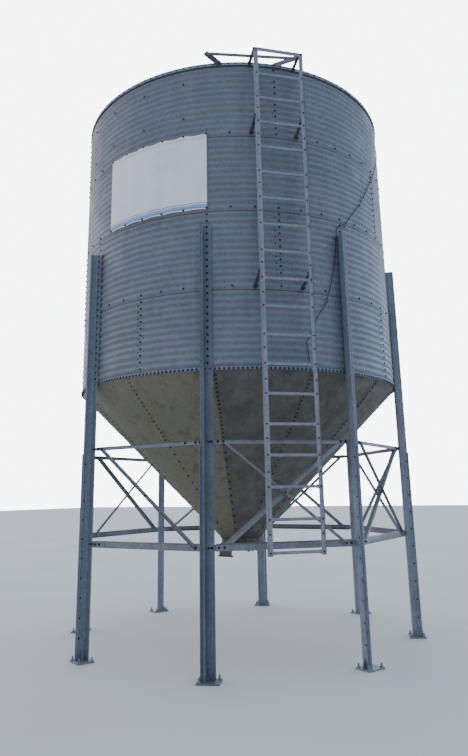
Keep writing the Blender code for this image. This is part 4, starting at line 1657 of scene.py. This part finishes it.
    def _straps(self) -> None:
        """The sloping flat bars that hold the ladder off the wall, each with a foot on a column of bolts."""
        size, (low, high), (bottom, top) = self.bin, self.strap_span, self.strap_foot
        wall, tab = size.wall_out + GAP, GAP + self.strap_thickness / 2.0 - self.back
        feet_bolts = []
        for name, height, rise, flat in (
                ("upper_wall", size.seam(3), self.strap_rise, wall),
                ("lower_wall", size.seam(1), self.strap_rise, wall),
                ("eave", size.eave - self.eave_strap_drop, self.eave_strap_rise, wall + self.eave_strap_stand)):
            pieces, face = [], flat + self.strap_thickness
            out = face * math.cos(math.radians(size.step))
            for side in SIDES:
                foot = slab("foot", (low, -face, height + bottom), (high, -flat, height + top), 0.001)
                middle = side * self.half
                outline = [(-out, height), (tab, height + rise), (tab, height + rise + self.strap_tab)]
                pieces += [settle(foot, turn(side * size.step)),
                           folded("strap", outline, (middle + low, middle + high), self.strap_thickness, 0.006, "X")]
                feet_bolts.append(spot(self.angle + side * size.step, face, height + self.strap_bolt,
                                       (low + high) / 2.0))
            self._add(join(pieces, f"ladder_{name}_straps"), Finish.STRAP)
        self.bolt(Bolt.SMALL, "ladder_strap_bolts", feet_bolts)


@dataclass
class GuardRail(Assembly):
    """The rail at the eave: two splayed plates with a rod between their ends."""

    tip_rise: float = 0.112
    tip_out: float = 0.03
    foot_drop: float = 0.016
    foot_width: float = 0.05
    foot_height: float = 0.03
    stand: float = 0.0042
    bolt_aside: float = 0.013
    corner: float = 0.012
    thickness: float = 0.006
    rod_radius: float = 0.0155
    rod_place: float = 0.9
    # Each arm's name, foot angle, foot shift, tip angle, width and finish
    arms: tuple[tuple[str, float, float, float, float, Finish], ...] = (
        ("left", 30.0, -0.095, 22.6, 0.06, Finish.DARK), ("right", 45.0, 0.0, 53.0, 0.05, Finish.ROD))

    def build(self) -> None:
        """Model the arms with their feet, the rod and the bolts."""
        flat, height = self.bin.wall_out + self.stand, self.bin.eave - self.foot_drop
        wide, tall, thin = self.foot_width / 2.0, self.foot_height / 2.0, self.thickness / 2.0
        ends, seats = [], []
        for name, angle, aside, tip_angle, width, finish in self.arms:
            foot = slab("foot", (aside - wide, -flat - self.thickness, height - tall),
                        (aside + wide, -flat, height + tall), 0.001)
            start = turn(angle) @ Vector((aside, -flat - thin, height))
            bay_angle = tip_angle - round(tip_angle / self.bin.step) * self.bin.step
            distance = (flat + thin) / math.cos(math.radians(bay_angle)) + self.tip_out
            tip = turn(tip_angle) @ Vector((0.0, -distance, self.bin.eave + self.tip_rise))
            frame, length = beam_frame(start, tip, turn(angle) @ Vector((0.0, -1.0, 0.0)))
            half, corner = width / 2.0, self.corner
            outline = ((-half, 0.0), (half, 0.0), (half, length - corner), (half - corner, length),
                       (corner - half, length), (-half, length - corner))
            arm = cut_plate("arm", outline, (-thin, thin), 0.001, "Y")
            self.dress(join([settle(arm, frame), settle(foot, turn(angle))], f"guard_rail_{name}_arm"), finish,
                       "eave_guard_rail")
            ends.append(start.lerp(tip, self.rod_place))
            seats += [spot(angle, flat + self.thickness, height, aside + side * self.bolt_aside) for side in SIDES]
        self.dress(round_bar("guard_rail_rod", self.rod_radius, *ends, 16), Finish.ROD)
        self.bolt(Bolt.SMALL, "guard_rail_bolts", seats)


@dataclass
class Banner(Assembly):
    """The cloth banner, held by the seam bolts along its upper and lower edges."""

    slot: ClassVar[Slot] = Slot.BANNER
    first_column: int = -5
    last_column: int = 0
    ring: int = 3
    margin: float = 0.012
    cloth: float = 0.0009
    bulge: float = 0.0075
    looseness: tuple[float, ...] = (0.7, 1.0, 0.8, 0.95, 0.75)
    crease: float = 0.0009
    across: int = 150
    up: int = 60
    sag: float = 0.019
    rise: float = 0.006
    ragged: float = 0.0016

    def _surface(self, across: float, up: float) -> Vector:
        """A point of the hung cloth from its share across and up the sheet.

        Args:
            across: The share across, from 0 to 1.
            up: The share up, from 0 to 1.

        Returns:
            The point.
        """
        size = self.bin
        margin = math.degrees(self.margin / size.wall_out)
        first, last = size.column(self.first_column) - margin, size.column(self.last_column) + margin
        angle = first + (last - first) * across
        columns = (angle - size.column(self.first_column)) / size.step
        bay = min(max(int(columns), 0), len(self.looseness) - 1)
        arch = math.sin(math.pi * up)
        loose = self.looseness[bay] * math.sin(math.pi * min(max(columns - bay, 0.0), 1.0)) ** 2
        crease = self.crease * math.sin(9.0 * columns + 14.0 * up) * arch
        out = size.wall_out + 0.0015 + self.bulge * loose * (0.45 + 0.55 * arch) + abs(crease)
        fray = self.ragged * math.sin(47.0 * columns) * math.sin(31.0 * columns + 1.0)
        sag = (loose * self.sag + fray) * up ** 4 - (loose * self.rise + fray) * (1.0 - up) ** 4
        height = size.seam(self.ring - 1) - self.margin + (size.ring + 2.0 * self.margin) * up - sag
        return turn(angle) @ Vector((0.0, -out, height))

    def build(self) -> None:
        """Model the sheet, and put a bolt through it at each column."""
        size = self.bin
        select()
        bpy.ops.mesh.primitive_grid_add(x_subdivisions=self.across, y_subdivisions=self.up, size=1.0)
        sheet = named("banner_sheet")
        for vertex in sheet.data.vertices:
            vertex.co = self._surface(vertex.co.x + 0.5, vertex.co.y + 0.5)
        self.dress(thicken(sheet, self.cloth), Finish.BANNER, "banner", smooth=60.0)
        self.bolt(Bolt.SEAL, "banner_bolts", [
            spot(size.column(number), size.wall_out + 0.002, size.seam(seam))
            for number in range(self.first_column, self.last_column + 1) for seam in (self.ring - 1, self.ring)])


@dataclass
class WallRope(Assembly):
    """The thin rope that comes down the wall, twisted from three strands and held by clips."""

    slot: ClassVar[Slot] = Slot.WALL
    radius: float = 0.004
    step: float = 0.06
    lay: float = 0.045
    sides: int = 12
    lobe: float = 0.14
    clip_foot: float = 0.02
    clip_screw: float = 0.0145
    # Columns of bolts, and heights above the rim in rings
    route: tuple[tuple[float, float], ...] = (
        (4.0, 0.348), (4.25, 0.459), (4.5, 0.639), (5.0, 0.866), (5.5, 1.316), (5.7, 1.673), (5.78, 1.85),
        (6.25, 1.932), (6.625, 2.06), (7.5, 2.338), (9.0, 2.891), (10.5, 3.371), (12.5, 3.937))
    tail: tuple[tuple[float, float], ...] = ((4.03, 0.221), (4.06, 0.098))
    clips: tuple[float, ...] = (4.25, 5.0, 6.25, 7.5, 9.0, 10.5, 12.0)

    def _rise(self, column: float) -> float:
        """The rope's place at a column, in ring heights above the rim, on a curve through its route.

        Args:
            column: The column of bolts, whole or not.

        Returns:
            The height, in rings above the rim.
        """
        route, last = self.route, len(self.route) - 1
        index = max([0, *(place for place in range(1, last) if column > route[place][0])])
        slopes = []
        for place in (index, index + 1):
            before, after = route[max(place - 1, 0)], route[min(place + 1, last)]
            slopes.append((after[1] - before[1]) / (after[0] - before[0]))
        (x0, y0), (x1, y1) = route[index], route[index + 1]
        span = x1 - x0
        t = (column - x0) / span
        return (y0 * (1.0 + 2.0 * t) * (1.0 - t) ** 2 + slopes[0] * span * t * (1.0 - t) ** 2
                + y1 * t * t * (3.0 - 2.0 * t) + slopes[1] * span * t * t * (t - 1.0))

    def _point(self, column: float, rise: float | None = None) -> Vector:
        """A point of the rope's middle on the wall, by its column and, off the route, its height."""
        height = self.bin.rim + (self._rise(column) if rise is None else rise) * self.bin.ring
        return spot(self.bin.column(column), self.bin.wall_out + GAP + self.radius, height).to_translation()

    def build(self) -> None:
        """Twist a three-lobed section along the route, and clip it to the wall."""
        first, last = self.route[0][0], self.route[-1][0]
        count = round((last - first) / self.step)
        points = [self._point(last - index * self.step) for index in range(count + 1)]
        points += [self._point(*place) for place in self.tail]
        finer = [points[0]]
        for start, end in pairwise(points):
            parts = max(1, round((end - start).length / (self.lay / 5.0)))
            finer += [start.lerp(end, part / parts) for part in range(1, parts + 1)]
        turns = [2.0 * math.pi * index / self.sides for index in range(self.sides)]
        reaches = [self.radius * (1.0 - self.lobe + self.lobe * math.cos(3.0 * angle)) for angle in turns]
        section = poly_curve("lobes", [(reach * math.cos(angle), reach * math.sin(angle), 0.0)
                                       for reach, angle in zip(reaches, turns)], "2D", True)
        rope = poly_curve("wall_rope_strands", finer, "3D", False)
        for name, value in (("bevel_mode", "OBJECT"), ("bevel_object", section), ("use_fill_caps", True),
                            ("twist_mode", "MINIMUM")):
            setattr(rope.data, name, value)
        length, knots = 0.0, rope.data.splines[0].points
        for index, (start, end) in enumerate(pairwise(finer), 1):
            length += (end - start).length
            knots[index].tilt = 2.0 * math.pi * length / (self.lay * 3.0)
        select(rope)
        bpy.ops.object.convert(target="MESH")
        rope = bpy.context.object
        discard(section)
        face_outwards(rope)
        self.dress(rope, Finish.ROPE, "wall_rope", slot=Slot.ROPE, smooth=60.0)
        self._clips()
        log.info("rope length %.3f m", length)

    def _clips(self) -> None:
        """Small saddle clips over the rope, each with a screw on one side."""
        low, high, half = -self.radius, self.radius + 0.0012, 0.006
        outline = ((-self.clip_foot, low), (-high, low), (-high * 0.8, high * 0.75), (high * 0.8, high * 0.75),
                   (high, low))
        frames = []
        for column in self.clips:
            place = self._point(column)
            frames.append(beam_frame(place, self._point(column + 0.02), (place.x, place.y, 0.0))[0])
        clip = folded("clip", outline, (-half, half), 0.001, 0.0015)
        self.repeat(clip, "wall_rope_clips", frames, Finish.RAIL)
        self.bolt(Bolt.SMALL, "wall_rope_clip_screws", [
            frame @ shift(-self.clip_screw, low, 0.0) @ turn(180.0) for frame in frames])


@dataclass
class Studio:
    """The camera at the photograph's viewing angle, a plain pale floor and soft light."""

    place: tuple[float, float, float] = (3.92993, -6.51322, 1.511)
    heading: tuple[float, float] = (-0.52063, 0.85380)
    pitch: float = 0.2370
    roll: float = -0.0183
    focal: float = 638.1
    frame_height: float = 756.0
    sensor: float = 36.0
    centre_drop: float = 39.0
    floor_size: float = 120.0
    front_level: float = 0.73
    back_level: float = 2.6
    zenith_level: float = 1.15
    seen_level: float = 8.0

    def build(self) -> None:
        """Set up the camera, the plain pale floor and the light."""
        self._camera()
        select()
        bpy.ops.mesh.primitive_plane_add(size=self.floor_size, location=(0.0, 0.0, -0.0005))
        floor = named("studio_floor")
        floor.data.materials.append(Finish.FLOOR.material)
        self._surround()

    def _camera(self) -> None:
        """The camera, turned as the photograph's was."""
        flat = Vector((*self.heading, 0.0)).normalized()
        ahead = flat * math.cos(self.pitch) + Vector((0.0, 0.0, math.sin(self.pitch)))
        right = ahead.cross(Vector((0.0, 0.0, 1.0))).normalized()
        up = right.cross(ahead)
        cosine, sine = math.cos(self.roll), math.sin(self.roll)
        data = bpy.data.cameras.new("photo_camera")
        data.sensor_width = self.sensor
        data.lens = self.focal * self.sensor / self.frame_height
        data.shift_y = -self.centre_drop / self.frame_height
        data.clip_end = 300.0
        camera = bpy.data.objects.new("photo_camera", data)
        axes = Matrix((right * cosine + up * sine, up * cosine - right * sine, -ahead)).transposed().to_4x4()
        camera.matrix_world = Matrix.Translation(self.place) @ axes
        bpy.context.collection.objects.link(camera)
        bpy.context.scene.camera = camera

    def _surround(self) -> None:
        """Soft light from a wide pale surround: brightest low down behind the silo, as a hazy sky is.

        The surround shows to the camera as an even near-white.
        """
        world = bpy.data.worlds.new("studio_surround")
        world.use_nodes = True
        world.node_tree.nodes.clear()
        add = partial(add_node, world.node_tree)
        way = add("TexCoord", out="Generated")
        behind = add("VectorMath", way, (*self.heading, 0.0), operation="DOT_PRODUCT")
        aside = add("VectorMath", way, (self.heading[1], -self.heading[0], 0.0), operation="DOT_PRODUCT")
        level = add("MapRange", behind, -0.35, 0.75, self.front_level, self.back_level, **SMOOTH)
        overhead = add("MapRange", add("SeparateXYZ", way, out="Z"), 0.25, 0.95, **SMOOTH)
        strength = add("Mix", overhead, level, self.zenith_level, data_type="FLOAT")
        low = add("Mix", add("MapRange", aside, -0.8, 0.8), "#F6F3F4", "#D9ECFF", **COLOURS)
        light = add("Background", add("Mix", overhead, low, "#BFD6F5", **COLOURS), strength)
        seen = add("Background", "#F7F9FF", self.seen_level)
        add("OutputWorld", add("MixShader", add("LightPath", out="Is Camera Ray"), light, seen))
        bpy.context.scene.world = world


def main() -> None:
    """Build the silo's sub-assemblies around the CAD model."""
    logging.basicConfig(level=logging.INFO, format="%(name)s: %(message)s")
    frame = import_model()
    Studio().build()
    bolts = {kind: kind.value.model() for kind in Bolt}
    for kind in (WallRings, Hopper, Outlet, Roof, Legs, Braces, Ladder, GuardRail, Banner, WallRope):
        kind(Bin(), bolts, frame["nodes"]).build()
        log.info("%s built", kind.__name__)
    discard(*bolts.values())


if __name__ == "__main__":
    main()
